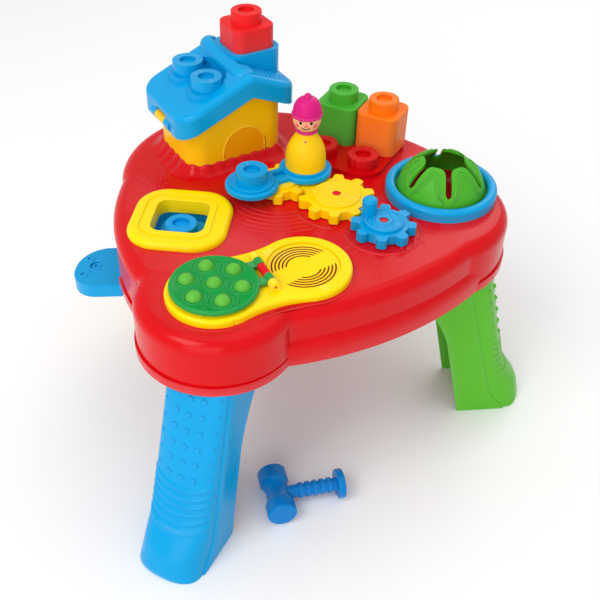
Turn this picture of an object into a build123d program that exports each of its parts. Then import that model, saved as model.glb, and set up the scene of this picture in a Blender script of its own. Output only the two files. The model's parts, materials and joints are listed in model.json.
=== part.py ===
from build123d import *
import os
from math import atan, atan2, cos, degrees, pi, radians, sin, sqrt, tan

# Activity table for toddlers, in millimetres, +Z up, floor at z = 0.
# Everything is drawn about the middle of the tabletop and moved to the shared frame on export.

# Fits and walls
wall = 3
touch_gap = 0.3
run_clearance = 0.05
thrust_gap = 0.1
edge_round = 1.5
below = 1

# Tabletop: heights and the outline of its three lobes and the bulging sides between them
top_z = 262
skirt_height = 62
shoulder_radius = 14
notch_radius = 14
rim_bead = 2
rim_bead_height = 10
swell_reach = 5
swell_height = 30
swell_flat = 14
swell_overrun = 6
table_reach = 190
front_notch = (-3, -143)
front_bulge = (80, -115)
right_notch = (182, -43)
right_lobe = (234, 34)
right_back_notch = (208, 106)
back_bulge = (113, 205)
back_notch = (-34, 252)
back_lobe = (-152, 212)
left_back_notch = (-188, 92)
left_bulge = (-188, 12)
left_notch = (-152, -87)
front_lobe = (-84, -186)

# Legs: three splayed channels, open towards the inside
leg_angles = {"front_leg": 242, "right_leg": 4.5, "back_leg": 123.5}
leg_top_z = 240
leg_foot_inner = 205
leg_foot_outer = 270
leg_foot_width = 76
leg_top_inner = 150
leg_top_outer = 184
leg_top_width = 70
leg_corner = 29
leg_flare_inner = 138
flare_start_z = 140
flare_end_z = 205
flare_lead = (-1, 1)
toe_reach = 14
toe_height = 48
toe_flat = 26
rib_count = 5
rib_top_z = 98
rib_pitch = 10
rib_reach = 2.2
leg_screw_sides = {"front_leg": 1, "right_leg": -1, "back_leg": 1}
leg_screw_side_place = 22
leg_screw_places_out = (163, 170.5)

# Screws
screw_shank = 1.5
screw_head = 3.2
screw_head_height = 2.2
screw_grip = 9
boss_radius = 4.5

# Soft building blocks with one round stud each
block_pitch = 50
block_width = 49
block_corner = 11
block_body = 46
stud_radius = 17
stud_height = 13
stud_dimple_radius = 9
stud_dimple_depth = 4
stud_clearance = 0.3

# Stud platform at the back right
platform_center = (73.5, 143.5)
platform_turn = -29
platform_width = 98
platform_corner = 24
platform_height = 5

# Shape sorter: frame, chute and tongue
sorter_center = (-115, 3)
sorter_turn = 172
sorter_width = 104
sorter_corner = 34
sorter_opening = 56
sorter_opening_corner = 13
sorter_frame_height = 8
sorter_round = 6
sorter_neck_depth = 9
sorter_groove_inset = 12
sorter_groove_width = 5
sorter_groove_depth = 2
chute_inside = 62
chute_flat = 30
chute_wall_end = 44
chute_length = 120
chute_floor_drop = 60
chute_tip_drop = 73
tongue_start = 62
tongue_depth = 16
exit_clearance = 1.5
exit_drop = 9

# House: walls, and a roof that swings up about a pin along its left eave
house_center = (-77, 156)
house_turn = 29
house_left = -61
house_right = 58
house_depth = 92
house_corner = 22
house_wall = 3
door_width = 34
door_height = 38
door_depth = 6
door_place = 16
roof_left = -74
roof_right = 70
roof_depth = 112
roof_ridge = 12
roof_peak = 110
roof_left_eave = 75
roof_right_eave = 85
roof_thickness = 25
roof_wall = 3.5
roof_ceiling_drop = 4
roof_upward_share = 0.5
roof_round = 7
roof_corner = 22
shelf_height = 93
shelf_inner = 0
shelf_length = 78
shelf_corner = 30
shelf_stud_place = -28
shelf_stud_spread = 46
shelf_pad_radius = 22
socket_place = (37, 6)
socket_width = 60
socket_height = 118
socket_floor = 97
socket_clearance = 0.5
hinge_pin_radius = 2
hinge_knuckle_radius = 5
hinge_knuckle_width = 22
hinge_side_width = 12
hinge_end_gap = 0.5
hinge_height = 57
hinge_inset = 2

# Petal dome over a shallow bowl, held down by a ring
dome_center = (164, 60)
ring_outer = 60
ring_inner = 49.5
ring_height = 13
ring_round = 4.5
flange_radius = 56
flange_height = 2
bowl_radius = 47
bowl_depth = 16
dome_radius = 48
dome_rise = 42
dome_wall = 2.5
petal_count = 6
petal_tip = 21
petal_tip_width = 17
petal_tip_round = 8
petal_slot = 7
petal_slot_reach = 40

# Music pad: figure-eight plate, speaker, hinged bubble lid, button and electronics
speaker_center = (10, -79)
button_center = (-75, -116)
pad_radius = 47.5
pad_height = 8
pad_round = 3.5
speaker_recess_radius = 36
speaker_recess_depth = 3
pad_overlap = 10
slot_radii = (8, 14, 20, 26, 32)
slot_width = 2.6
slot_arc = 118
slot_turn = 140
speaker_radius = 27
speaker_rim = 2
speaker_magnet = 14
speaker_depth = 16
lid_radius = 43
lid_height = 4
lid_rise = 6.3
lid_seat_radius = 40
lid_seat_width = 3
lid_hinge_offset = 51
lid_arm_width = 9
lid_knuckle_radius = 4.5
lid_knuckle_width = 9
lid_pin_radius = 1.6
lid_hinge_half = 27
lid_arm_place = 12
bubble_radius = 8.5
bubble_ring = 21
bubble_count = 6
bubble_turn = -34.5
bubble_rise = 6.5
button_radius = 17
button_rise = 1.7
button_travel = 2.5
button_flange = 20
button_flange_height = 2
button_stem = 4
button_stem_length = 3
tray_depth = 20
tray_wall = 2.5
tray_gap = 0.5
board_radius = 30
board_height = 1.6
board_standoff = 4
standoff_radius = 3
standoff_place = 22
switch_width = 12
battery_radius = 7.2
battery_length = 50
battery_count = 3
battery_pitch = 15
battery_box_height = 19
battery_door_height = 2.5
battery_door_lip = 4

# Gears: two small ones beside a large one, turning on headed axles
gear_module = 7.5
small_teeth = 8
large_teeth = 10
gear_addendum_share = 0.44
gear_dedendum_share = 0.6
gear_pressure_angle = 25
gear_backlash = 0.9
gear_height = 10
gear_lift = 1
gear_hub_share = 0.68
tooth_round = 1.2
flank_points = 4
gear_hub_height = 2.5
axle_radius = 5
axle_head_radius = 7.5
axle_head_height = 2.8
axle_head_clearance = 0.4
axle_boss_radius = 9
axle_boss_depth = 15
carousel_center = (-12, 66)
carousel_bearing = -25.4
crank_bearing = -48.3
crank_turn = 138
crank_place = 19
crank_radius = 8
crank_height = 21

# Carousel arm and the peg doll that rides on it
arm_turn = 28
arm_reach = 33
arm_pad_radius = 29
arm_waist = 24
arm_height = 5.5
arm_round = 2.5
arm_tier_radius = 24
arm_tier_height = 2.5
arm_tier_round = 1
arm_peg_radius = 3
arm_peg_length = 5
arm_peg_place = 14
arm_recess_length = 14
arm_recess_width = 9
arm_recess_depth = 4
doll_base_radius = 22
doll_base_height = 16
doll_neck_radius = 11
doll_body_height = 44
doll_head_radius = 15
doll_head_sink = 3
doll_cap_radius = 15.6
doll_cap_rise = 20
doll_cap_start = 5
doll_peg_radius = 4
doll_peg_length = 6

# Hammer lying on the floor
hammer_center = (-14, -158)
hammer_turn = 12
hammer_head_radius = 16
hammer_head_length = 58
hammer_head_waist = 12
hammer_handle_radius = 7
hammer_handle_length = 62
hammer_grip_count = 5
hammer_grip_pitch = 8
hammer_grip_height = 1.5
hammer_grip_width = 4
hammer_end_length = 8

# The shared frame has its origin on the floor under the middle of the whole set
frame_shift_x = -23.2
frame_shift_y = 0.5

os.makedirs("parts", exist_ok=True)


# Common helpers
def turned(center, turn, height):
    """Level work plane at a place on the table, its x direction turned about Z."""
    x_axis = (cos(radians(turn)), sin(radians(turn)), 0)
    return Plane(origin=(center[0], center[1], height), x_dir=x_axis, z_dir=(0, 0, 1))


def shifted(plane, x, y):
    """The same plane with its origin moved within it."""
    return Plane(plane.location * Pos(x, y))


def save(part, name):
    """Moves a piece to the shared frame, names it and writes it."""
    moved = part.moved(Location((frame_shift_x, frame_shift_y, 0)))
    moved.label = name
    export_step(moved, f"parts/{name}.step")


def polar(center, distance, angle):
    """Point at a distance and bearing from a centre."""
    return (center[0] + distance * cos(radians(angle)), center[1] + distance * sin(radians(angle)))


def screw(head_plane):
    """Self-tapping screw, its head lying against the plane and its shank along the normal."""
    with BuildPart() as piece:
        with BuildSketch(head_plane):
            Circle(screw_head)
        extrude(amount=-screw_head_height)
        with BuildSketch(head_plane):
            Circle(screw_shank)
        extrude(amount=screw_grip)
    return piece.part


def save_group(parts, name):
    """Writes several separate solids as one node."""
    save(Compound([part.solid() for part in parts]), name)


# Places that several pieces share
chute_back = chute_inside / 2 + wall
rim_z = top_z - skirt_height
under_top_z = top_z - wall
leg_planes = {name: turned((0, 0), angle, 0) for name, angle in leg_angles.items()}
leg_screw_places = [
    polar(polar((0, 0), out, angle), leg_screw_sides[name] * leg_screw_side_place, angle + 90)
    for name, angle in leg_angles.items()
    for out in leg_screw_places_out
]
small_pitch_radius = gear_module * small_teeth / 2
large_pitch_radius = gear_module * large_teeth / 2
gear_distance = small_pitch_radius + large_pitch_radius
middle_center = polar(carousel_center, gear_distance, carousel_bearing)
crank_center = polar(middle_center, gear_distance, crank_bearing)
axle_places = [carousel_center, middle_center, crank_center]
gear_bottom_z = top_z + gear_lift + thrust_gap
gear_face_z = gear_bottom_z + gear_height
gear_hub_z = gear_face_z + gear_hub_height
axle_head_z = gear_hub_z - axle_head_height - axle_head_clearance
pad_axis = (button_center[0] - speaker_center[0], button_center[1] - speaker_center[1])
pad_distance = sqrt(pad_axis[0] ** 2 + pad_axis[1] ** 2)
pad_plane = Plane(
    origin=(button_center[0], button_center[1], top_z),
    x_dir=(-pad_axis[0], -pad_axis[1], 0),
    z_dir=(0, 0, 1),
)
house_plane = turned(house_center, house_turn, top_z)
platform_plane = turned(platform_center, platform_turn, top_z)
sorter_plane = turned(sorter_center, sorter_turn, top_z)


def figure_eight(inset):
    """Draws the music pad's outline, two discs bridged by a waist, drawn in by an inset."""
    Circle(pad_radius - inset)
    with Locations((pad_distance, 0)):
        Circle(pad_radius - inset)
    with Locations((pad_distance / 2, 0)):
        Rectangle(pad_radius, pad_radius - 2 * inset)


# Tabletop shell
with BuildSketch() as table_outline:
    with BuildLine():
        ThreePointArc(front_notch, front_bulge, right_notch)
        ThreePointArc(right_notch, right_lobe, right_back_notch)
        ThreePointArc(right_back_notch, back_bulge, back_notch)
        ThreePointArc(back_notch, back_lobe, left_back_notch)
        ThreePointArc(left_back_notch, left_bulge, left_notch)
        ThreePointArc(left_notch, front_lobe, front_notch)
    make_face()
    fillet(table_outline.vertices(), notch_radius)


def table_section(outset):
    """Puts the tabletop's outline, grown about its middle by about an outset, into the running sketch."""
    add(table_outline.sketch)
    if outset:
        scale(by=1 + outset / table_reach, mode=Mode.REPLACE)


def skirt_swell(start, middle, end):
    """Soft swelling along the foot of a bulging side, running a little into the lobes at its ends."""
    side = ThreePointArc(start, middle, end)
    hub = side.arc_center
    first = degrees(atan2(start[1] - hub.Y, start[0] - hub.X)) - swell_overrun
    sweep_angle = (degrees(atan2(end[1] - hub.Y, end[0] - hub.X)) + swell_overrun - first) % 360
    side_axis = Axis((hub.X, hub.Y, 0), (0, 0, 1))
    across = (cos(radians(first)), sin(radians(first)), 0)
    profile_plane = Plane(origin=(hub.X, hub.Y, rim_z), x_dir=across, z_dir=(across[1], -across[0], 0))
    inside = side.radius - wall / 2
    outside = side.radius + swell_reach
    with BuildPart() as swelling:
        with BuildSketch(profile_plane):
            with BuildLine():
                Polyline((inside, swell_height), (inside, 0), (outside, 0), (outside, swell_flat))
                Spline((outside, swell_flat), (inside, swell_height), tangents=[(0, 1), (-1, 1)])
            make_face()
        revolve(axis=side_axis, revolution_arc=sweep_angle)
    return swelling.part


with BuildPart() as cavity:
    with BuildSketch(Plane.XY.offset(rim_z - below)):
        table_section(-wall)
    extrude(amount=skirt_height - wall + below)
    fillet(cavity.faces().sort_by(Axis.Z)[-1].edges(), shoulder_radius - wall)

with BuildPart() as tabletop:
    with BuildSketch(Plane.XY.offset(rim_z)):
        table_section(0)
    extrude(amount=skirt_height)
    fillet(tabletop.faces().sort_by(Axis.Z)[-1].edges(), shoulder_radius)
    with BuildSketch(Plane.XY.offset(rim_z)):
        table_section(rim_bead)
    extrude(amount=rim_bead_height)
    add(skirt_swell(front_notch, front_bulge, right_notch))
    add(skirt_swell(right_back_notch, back_bulge, back_notch))
    add(cavity.part, mode=Mode.SUBTRACT)
    # Platform with its two free studs and the two that carry blocks
    with BuildSketch(platform_plane):
        RectangleRounded(platform_width, platform_width, platform_corner)
    extrude(amount=platform_height)
    with BuildSketch(platform_plane.offset(platform_height)):
        with GridLocations(block_pitch, block_pitch, 2, 2):
            Circle(stud_radius)
    extrude(amount=stud_height)
    with BuildSketch(platform_plane.offset(platform_height + stud_height)):
        with GridLocations(block_pitch, block_pitch, 2, 2):
            Circle(stud_dimple_radius)
    extrude(amount=-stud_dimple_depth, mode=Mode.SUBTRACT)
    # Bosses under the top for the gear axles and the leg screws
    with BuildSketch(Plane.XY.offset(under_top_z)):
        with Locations(*axle_places):
            Circle(axle_boss_radius)
    extrude(amount=-axle_boss_depth)
    with BuildSketch(Plane.XY.offset(top_z)):
        with Locations(*axle_places):
            Circle(axle_boss_radius)
    extrude(amount=gear_lift)
    with BuildSketch(Plane.XY.offset(leg_top_z)):
        with Locations(*leg_screw_places):
            Circle(boss_radius)
    extrude(amount=under_top_z - leg_top_z)
    # Holes: axles, leg screws, sorter, bowl, music pad
    with BuildSketch(Plane.XY.offset(top_z + gear_lift)):
        with Locations(*axle_places):
            Circle(axle_radius)
    extrude(amount=-axle_boss_depth - gear_lift - wall, mode=Mode.SUBTRACT)
    with BuildSketch(Plane.XY.offset(leg_top_z)):
        with Locations(*leg_screw_places):
            Circle(screw_shank)
    extrude(amount=screw_grip, mode=Mode.SUBTRACT)
    with BuildSketch(sorter_plane):
        RectangleRounded(chute_inside, chute_inside, sorter_opening_corner)
    extrude(amount=-wall, mode=Mode.SUBTRACT)
    with BuildSketch(turned(dome_center, 0, top_z)):
        Circle(bowl_radius + touch_gap)
    extrude(amount=-wall, mode=Mode.SUBTRACT)
    with BuildSketch(pad_plane):
        figure_eight(pad_overlap)
    extrude(amount=-wall, mode=Mode.SUBTRACT)
    # Way out for the blocks through the left skirt
    exit_width = chute_inside + 2 * wall + 2 * exit_clearance
    with BuildSketch(sorter_plane.offset(-skirt_height - below)):
        with Locations(((chute_wall_end + chute_length) / 2, 0)):
            Rectangle(chute_length - chute_wall_end + chute_back, exit_width)
    extrude(amount=skirt_height + below - exit_drop - wall, mode=Mode.SUBTRACT)
save(tabletop.part, "tabletop_shell")


# Legs: tapered channels with a closed top, open on the inner side, and a swollen toe
def leg_section(plane, inner, outer, width, corner):
    """Sketch of a leg's cross-section on a plane, rounded on its two outer corners."""
    with BuildSketch(plane) as section:
        with Locations(((inner + outer) / 2, 0)):
            Rectangle(outer - inner, width)
        fillet(section.vertices().group_by(Axis.X)[-1], corner)
    return section.sketch


def between(foot_value, top_value, height):
    """A leg size at a height, between its sizes at the foot and at the top."""
    return foot_value + (top_value - foot_value) * height / leg_top_z


def leg_front(plane, height, reach):
    """Sketch of the rounded front of a leg at a height, pushed out by a reach."""
    outer = between(leg_foot_outer, leg_top_outer, height)
    width = between(leg_foot_width, leg_top_width, height)
    return leg_section(plane.offset(height), outer - leg_corner - wall / 2, outer + reach, width, leg_corner)


def make_leg(plane):
    """One leg, drawn along the x direction of its plane."""
    top = plane.offset(leg_top_z)
    inner_top = plane.offset(leg_top_z - wall)
    inner_start = leg_top_inner / 2
    toe_corner = leg_corner + wall
    toe_outer = leg_foot_outer + toe_reach
    foot = leg_section(plane, leg_foot_inner, toe_outer, leg_foot_width, toe_corner)
    swell = leg_section(plane.offset(toe_flat), leg_foot_inner, toe_outer, leg_foot_width, toe_corner)
    ankle = leg_section(
        plane.offset(toe_height),
        between(leg_foot_inner, leg_top_inner, toe_height),
        between(leg_foot_outer, leg_top_outer, toe_height),
        between(leg_foot_width, leg_top_width, toe_height),
        leg_corner,
    )
    shaft_foot = leg_section(plane, leg_flare_inner, leg_foot_outer, leg_foot_width, leg_corner)
    shaft_top = leg_section(top, leg_flare_inner, leg_top_outer, leg_top_width, leg_corner)
    hollow_corner = leg_corner - wall
    hollow_foot_width = leg_foot_width - 2 * wall
    hollow_top_width = leg_top_width - 2 * wall
    hollow_foot = leg_section(plane, inner_start, leg_foot_outer - wall, hollow_foot_width, hollow_corner)
    hollow_top = leg_section(inner_top, inner_start, leg_top_outer - wall, hollow_top_width, hollow_corner)
    side_plane = Plane(origin=plane.origin, x_dir=plane.x_dir, z_dir=-plane.y_dir)
    flare_start = (between(leg_foot_inner, leg_top_inner, flare_start_z), flare_start_z)
    flare_end = (leg_flare_inner, flare_end_z)
    edge_lead = (leg_top_inner - leg_foot_inner, leg_top_z)
    with BuildPart() as inner_trim:
        with BuildSketch(side_plane):
            with BuildLine():
                Polyline(flare_end, (0, flare_end_z), (0, 0), (leg_foot_inner, 0), flare_start)
                Spline(flare_start, flare_end, tangents=[edge_lead, flare_lead])
            make_face()
        extrude(amount=leg_foot_width, both=True)
    with BuildPart() as leg:
        loft([shaft_foot, shaft_top])
        extrude(foot, amount=toe_flat)
        loft([swell, ankle])
        for number in range(rib_count):
            rib_z = rib_top_z - number * rib_pitch
            loft([leg_front(plane, rib_z - rib_pitch, rib_reach), leg_front(plane, rib_z, 0)])
        loft([hollow_foot, hollow_top], mode=Mode.SUBTRACT)
        add(inner_trim.part, mode=Mode.SUBTRACT)
    return leg.part


for leg_name, leg_plane in leg_planes.items():
    leg = make_leg(leg_plane)
    with BuildPart() as bored_leg:
        add(leg)
        with BuildSketch(Plane.XY.offset(leg_top_z)):
            with Locations(*leg_screw_places):
                Circle(screw_shank)
        extrude(amount=-2 * wall, mode=Mode.SUBTRACT)
    save(bored_leg.part, leg_name)


# Screws that hold the legs, driven upwards from inside each leg's top
leg_screws = [screw(shifted(Plane.XY.offset(leg_top_z - wall), x, y)) for x, y in leg_screw_places]
save_group(leg_screws, "leg_screws")


# Shape sorter frame: rounded-square bezel with a groove, and a neck that reaches into the chute
with BuildPart() as sorter_frame:
    with BuildSketch(sorter_plane):
        RectangleRounded(sorter_width, sorter_width, sorter_corner)
    extrude(amount=sorter_frame_height)
    fillet(sorter_frame.faces().sort_by(Axis.Z)[-1].edges(), sorter_round)
    neck_width = chute_inside - 2 * touch_gap
    with BuildSketch(sorter_plane):
        RectangleRounded(neck_width, neck_width, sorter_opening_corner)
    extrude(amount=-sorter_neck_depth)
    with BuildSketch(sorter_plane.offset(sorter_frame_height)):
        groove_outer = sorter_width - 2 * sorter_groove_inset
        groove_inner = groove_outer - 2 * sorter_groove_width
        RectangleRounded(groove_outer, groove_outer, sorter_corner - sorter_groove_inset)
        RectangleRounded(groove_inner, groove_inner, sorter_opening_corner, mode=Mode.SUBTRACT)
    extrude(amount=-sorter_groove_depth, mode=Mode.SUBTRACT)
    with BuildSketch(sorter_plane.offset(sorter_frame_height)):
        RectangleRounded(sorter_opening, sorter_opening, sorter_opening_corner - edge_round)
    extrude(amount=-sorter_frame_height - sorter_neck_depth, mode=Mode.SUBTRACT)
save(sorter_frame.part, "sorter_frame")


# Chute: level floor under the sorter, then a ramp that leaves through the skirt as a round tongue
ramp_slope = (chute_tip_drop - chute_floor_drop) / (chute_length - chute_flat)


def chute_floor(out):
    """Height of the chute's floor at a distance out from the sorter's middle."""
    return -chute_floor_drop - ramp_slope * (out - chute_flat)


chute_side = Plane(origin=sorter_plane.origin, x_dir=sorter_plane.x_dir, z_dir=-sorter_plane.y_dir)
chute_tip = chute_length + wall
chute_width = chute_inside + 2 * wall
with BuildPart() as chute:
    with BuildSketch(chute_side):
        with BuildLine():
            Polyline(
                (-chute_back, -wall),
                (-chute_back, -chute_floor_drop - wall),
                (chute_flat, -chute_floor_drop - wall),
                (tongue_start, chute_floor(tongue_start) - wall),
                (tongue_start, chute_floor(tongue_start) - tongue_depth),
                (chute_tip, chute_floor(chute_tip) - tongue_depth),
                (chute_tip, chute_floor(chute_tip)),
                (chute_wall_end, chute_floor(chute_wall_end)),
                (chute_wall_end, -wall),
                close=True,
            )
        make_face()
    extrude(amount=chute_width / 2, both=True)
    with BuildSketch(chute_side):
        with BuildLine():
            Polyline(
                (wall - chute_back, 0),
                (wall - chute_back, -chute_floor_drop),
                (chute_flat, -chute_floor_drop),
                (chute_wall_end, chute_floor(chute_wall_end)),
                (chute_wall_end, 0),
                close=True,
            )
        make_face()
    extrude(amount=chute_inside / 2, both=True, mode=Mode.SUBTRACT)
    with BuildSketch(sorter_plane.offset(-2 * chute_tip_drop)) as chute_plan:
        with Locations(((chute_tip - chute_back) / 2, 0)):
            Rectangle(chute_tip + chute_back, chute_width)
        fillet(chute_plan.vertices().group_by(Axis.X)[-1], chute_inside / 2)
    extrude(amount=2 * chute_tip_drop, mode=Mode.INTERSECT)
save(chute.part, "chute")


# Soft building blocks
def make_block(plane):
    """One block standing on a plane, with a socket below that fits over a stud."""
    with BuildPart() as block:
        with BuildSketch(plane):
            RectangleRounded(block_width, block_width, block_corner)
        extrude(amount=block_body)
        fillet(block.faces().sort_by(Axis.Z)[-1].edges(), edge_round)
        with BuildSketch(plane.offset(block_body)):
            Circle(stud_radius)
        extrude(amount=stud_height)
        fillet(block.faces().sort_by(Axis.Z)[-1].edges(), edge_round)
        with BuildSketch(plane.offset(block_body + stud_height)):
            Circle(stud_dimple_radius)
        extrude(amount=-stud_dimple_depth, mode=Mode.SUBTRACT)
        with BuildSketch(plane):
            Circle(stud_radius + stud_clearance)
        extrude(amount=stud_height + stud_clearance, mode=Mode.SUBTRACT)
    return block.part


platform_top = platform_plane.offset(platform_height)
half_pitch = block_pitch / 2
save(make_block(shifted(platform_top, -half_pitch, half_pitch)), "green_block")
save(make_block(shifted(platform_top, half_pitch, half_pitch)), "orange_block")
save(make_block(sorter_plane.offset(-chute_floor_drop)), "sorter_block")
save(make_block(shifted(house_plane.offset(socket_floor), *socket_place)), "chimney_block")


# House: roof profile lines in the plane of the gable, x across the house and y up
gable_plane = Plane(origin=house_plane.origin, x_dir=house_plane.x_dir, z_dir=-house_plane.y_dir)
roof_width = roof_right - roof_left
roof_middle = (roof_right + roof_left) / 2
house_width = house_right - house_left
house_middle = (house_right + house_left) / 2


def gable_band(top_drop, bottom_drop):
    """Draws the roof's bent band between two depths below its top."""
    with BuildSketch(gable_plane) as band:
        with BuildLine():
            Polyline(
                (roof_left, roof_left_eave - top_drop),
                (roof_ridge, roof_peak - top_drop),
                (roof_right, roof_right_eave - top_drop),
                (roof_right, roof_right_eave - bottom_drop),
                (roof_ridge, roof_peak - bottom_drop),
                (roof_left, roof_left_eave - bottom_drop),
                close=True,
            )
        make_face()
    return band.sketch


# House walls, open at the top, with an arched door recess and the middle knuckle of the roof hinge
hinge_x = roof_left + hinge_inset
with BuildPart() as house_walls:
    with BuildSketch(house_plane):
        with Locations((house_middle, 0)):
            RectangleRounded(house_width, house_depth, house_corner)
    extrude(amount=roof_peak)
    with BuildSketch(house_plane):
        with Locations((house_middle, 0)):
            inner_width = house_width - 2 * house_wall
            RectangleRounded(inner_width, house_depth - 2 * house_wall, house_corner - house_wall)
    extrude(amount=roof_peak, mode=Mode.SUBTRACT)
    above_walls = gable_band(-roof_peak, roof_ceiling_drop + touch_gap)
    extrude(above_walls, amount=roof_depth, both=True, mode=Mode.SUBTRACT)
    door_plane = gable_plane.offset(house_depth / 2)
    with BuildSketch(door_plane):
        with Locations((door_place, 0)):
            arch_outer = door_width + 2 * house_wall
            Rectangle(arch_outer, door_height - door_width / 2, align=(Align.CENTER, Align.MIN))
        with Locations((door_place, door_height - door_width / 2)):
            Circle(arch_outer / 2)
        with Locations((door_place, -door_height)):
            Rectangle(2 * arch_outer, door_height, align=(Align.CENTER, Align.MIN), mode=Mode.SUBTRACT)
    extrude(amount=-door_depth - house_wall)
    with BuildSketch(door_plane):
        with Locations((door_place, -door_height)):
            Rectangle(door_width, 2 * door_height - door_width / 2, align=(Align.CENTER, Align.MIN))
        with Locations((door_place, door_height - door_width / 2)):
            Circle(door_width / 2)
    extrude(amount=-door_depth, mode=Mode.SUBTRACT)
    with BuildSketch(gable_plane):
        with Locations((hinge_x, hinge_height)):
            Circle(hinge_knuckle_radius)
        with Locations((hinge_x, hinge_height - hinge_knuckle_radius)):
            tab_length = house_left + house_wall - hinge_x
            Rectangle(tab_length, 2 * hinge_knuckle_radius, align=(Align.MIN, Align.MIN))
        with Locations((hinge_x, hinge_height)):
            Circle(hinge_pin_radius + run_clearance, mode=Mode.SUBTRACT)
    extrude(amount=hinge_knuckle_width / 2, both=True)
save(house_walls.part, "house_walls")


# House roof: bent band hollowed from below, with a stud shelf, a chimney socket and hinge knuckles
with BuildPart() as roof_pocket:
    extrude(gable_band(roof_ceiling_drop, roof_peak), amount=roof_depth / 2, both=True)
    with BuildSketch(house_plane):
        with Locations((roof_middle, 0)):
            pocket_corner = roof_corner - roof_wall
            RectangleRounded(roof_width - 2 * roof_wall, roof_depth - 2 * roof_wall, pocket_corner)
    extrude(amount=2 * roof_peak, mode=Mode.INTERSECT)

with BuildPart() as shelf_box:
    with BuildSketch(house_plane.offset(shelf_height - roof_wall)):
        with Locations((shelf_inner + roof_wall, 0)):
            shelf_box_width = shelf_inner - roof_left / 2
            Rectangle(shelf_box_width, shelf_length + 2 * roof_wall, align=(Align.MAX, Align.CENTER))
    extrude(amount=roof_peak - shelf_height)
    extrude(gable_band(0, roof_peak), amount=roof_depth, both=True, mode=Mode.INTERSECT)

with BuildPart() as stud_pads:
    with BuildSketch(house_plane.offset(shelf_height)):
        with Locations((shelf_stud_place, 0)):
            with GridLocations(0, shelf_stud_spread, 1, 2):
                Circle(shelf_pad_radius)
    extrude(amount=-shelf_height)
    extrude(gable_band(-roof_peak, roof_ceiling_drop), amount=roof_depth, both=True, mode=Mode.INTERSECT)

with BuildPart() as roof:
    extrude(gable_band(0, roof_thickness), amount=roof_depth / 2, both=True)
    with BuildSketch(house_plane):
        with Locations((roof_middle, 0)):
            RectangleRounded(roof_width, roof_depth, roof_corner)
    extrude(amount=2 * roof_peak, mode=Mode.INTERSECT)
    roof_top_faces = roof.faces().filter_by(lambda face: face.normal_at().Z > roof_upward_share)
    roof_top_edges = ShapeList([edge for face in roof_top_faces for edge in face.edges()])
    fillet(roof_top_edges, roof_round)
    socket_plane = shifted(house_plane, *socket_place)
    with BuildSketch(socket_plane.offset(roof_right_eave - roof_wall)):
        RectangleRounded(socket_width, socket_width, block_corner + roof_wall)
    extrude(amount=socket_height - roof_right_eave + roof_wall)
    add(roof_pocket.part, mode=Mode.SUBTRACT)
    # Shelf: a box let into the left slope, cut level, with two studs
    add(shelf_box.part)
    with BuildSketch(house_plane.offset(shelf_height)) as shelf_plan:
        with Locations((shelf_inner, 0)):
            Rectangle(shelf_inner - roof_left, shelf_length, align=(Align.MAX, Align.CENTER))
        fillet(shelf_plan.vertices().group_by(Axis.X)[-1], shelf_corner)
    extrude(amount=roof_peak - shelf_height, mode=Mode.SUBTRACT)
    add(stud_pads.part)
    with BuildSketch(house_plane.offset(shelf_height)):
        with Locations((shelf_stud_place, 0)):
            with GridLocations(0, shelf_stud_spread, 1, 2):
                Circle(stud_radius)
                Circle(stud_dimple_radius, mode=Mode.SUBTRACT)
    extrude(amount=stud_height)
    with BuildSketch(house_plane.offset(shelf_height)):
        with Locations((shelf_stud_place, 0)):
            with GridLocations(0, shelf_stud_spread, 1, 2):
                Circle(stud_dimple_radius)
    extrude(amount=stud_height - stud_dimple_depth)
    # Chimney socket floor and stud
    with BuildSketch(socket_plane.offset(socket_floor - roof_wall)):
        RectangleRounded(socket_width, socket_width, block_corner + roof_wall)
    extrude(amount=socket_height - socket_floor + roof_wall)
    with BuildSketch(socket_plane.offset(socket_floor)):
        recess_width = block_width + 2 * socket_clearance
        RectangleRounded(recess_width, recess_width, block_corner + socket_clearance)
    extrude(amount=socket_height - socket_floor, mode=Mode.SUBTRACT)
    with BuildSketch(socket_plane.offset(socket_floor)):
        Circle(stud_radius)
    extrude(amount=stud_height)
    # Hinge: notch for the wall's knuckle and a knuckle on each side of it
    with BuildSketch(gable_plane):
        with Locations((hinge_x, hinge_height)):
            Rectangle(4 * hinge_knuckle_radius, 4 * hinge_knuckle_radius)
    extrude(amount=hinge_knuckle_width / 2 + hinge_end_gap, both=True, mode=Mode.SUBTRACT)
    for side in (-1, 1):
        knuckle_start = side * (hinge_knuckle_width / 2 + hinge_end_gap)
        with BuildSketch(gable_plane.offset(knuckle_start)):
            with Locations((hinge_x, hinge_height)):
                Circle(hinge_knuckle_radius)
        extrude(amount=side * hinge_side_width)
    with BuildSketch(gable_plane):
        with Locations((hinge_x, hinge_height)):
            Circle(hinge_pin_radius)
    pin_reach = hinge_knuckle_width / 2 + hinge_end_gap + hinge_side_width
    extrude(amount=pin_reach, both=True, mode=Mode.SUBTRACT)
save(roof.part, "house_roof")

with BuildPart() as roof_pin:
    with BuildSketch(gable_plane):
        with Locations((hinge_x, hinge_height)):
            Circle(hinge_pin_radius)
    extrude(amount=pin_reach, both=True)
save(roof_pin.part, "roof_hinge_pin")


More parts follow.
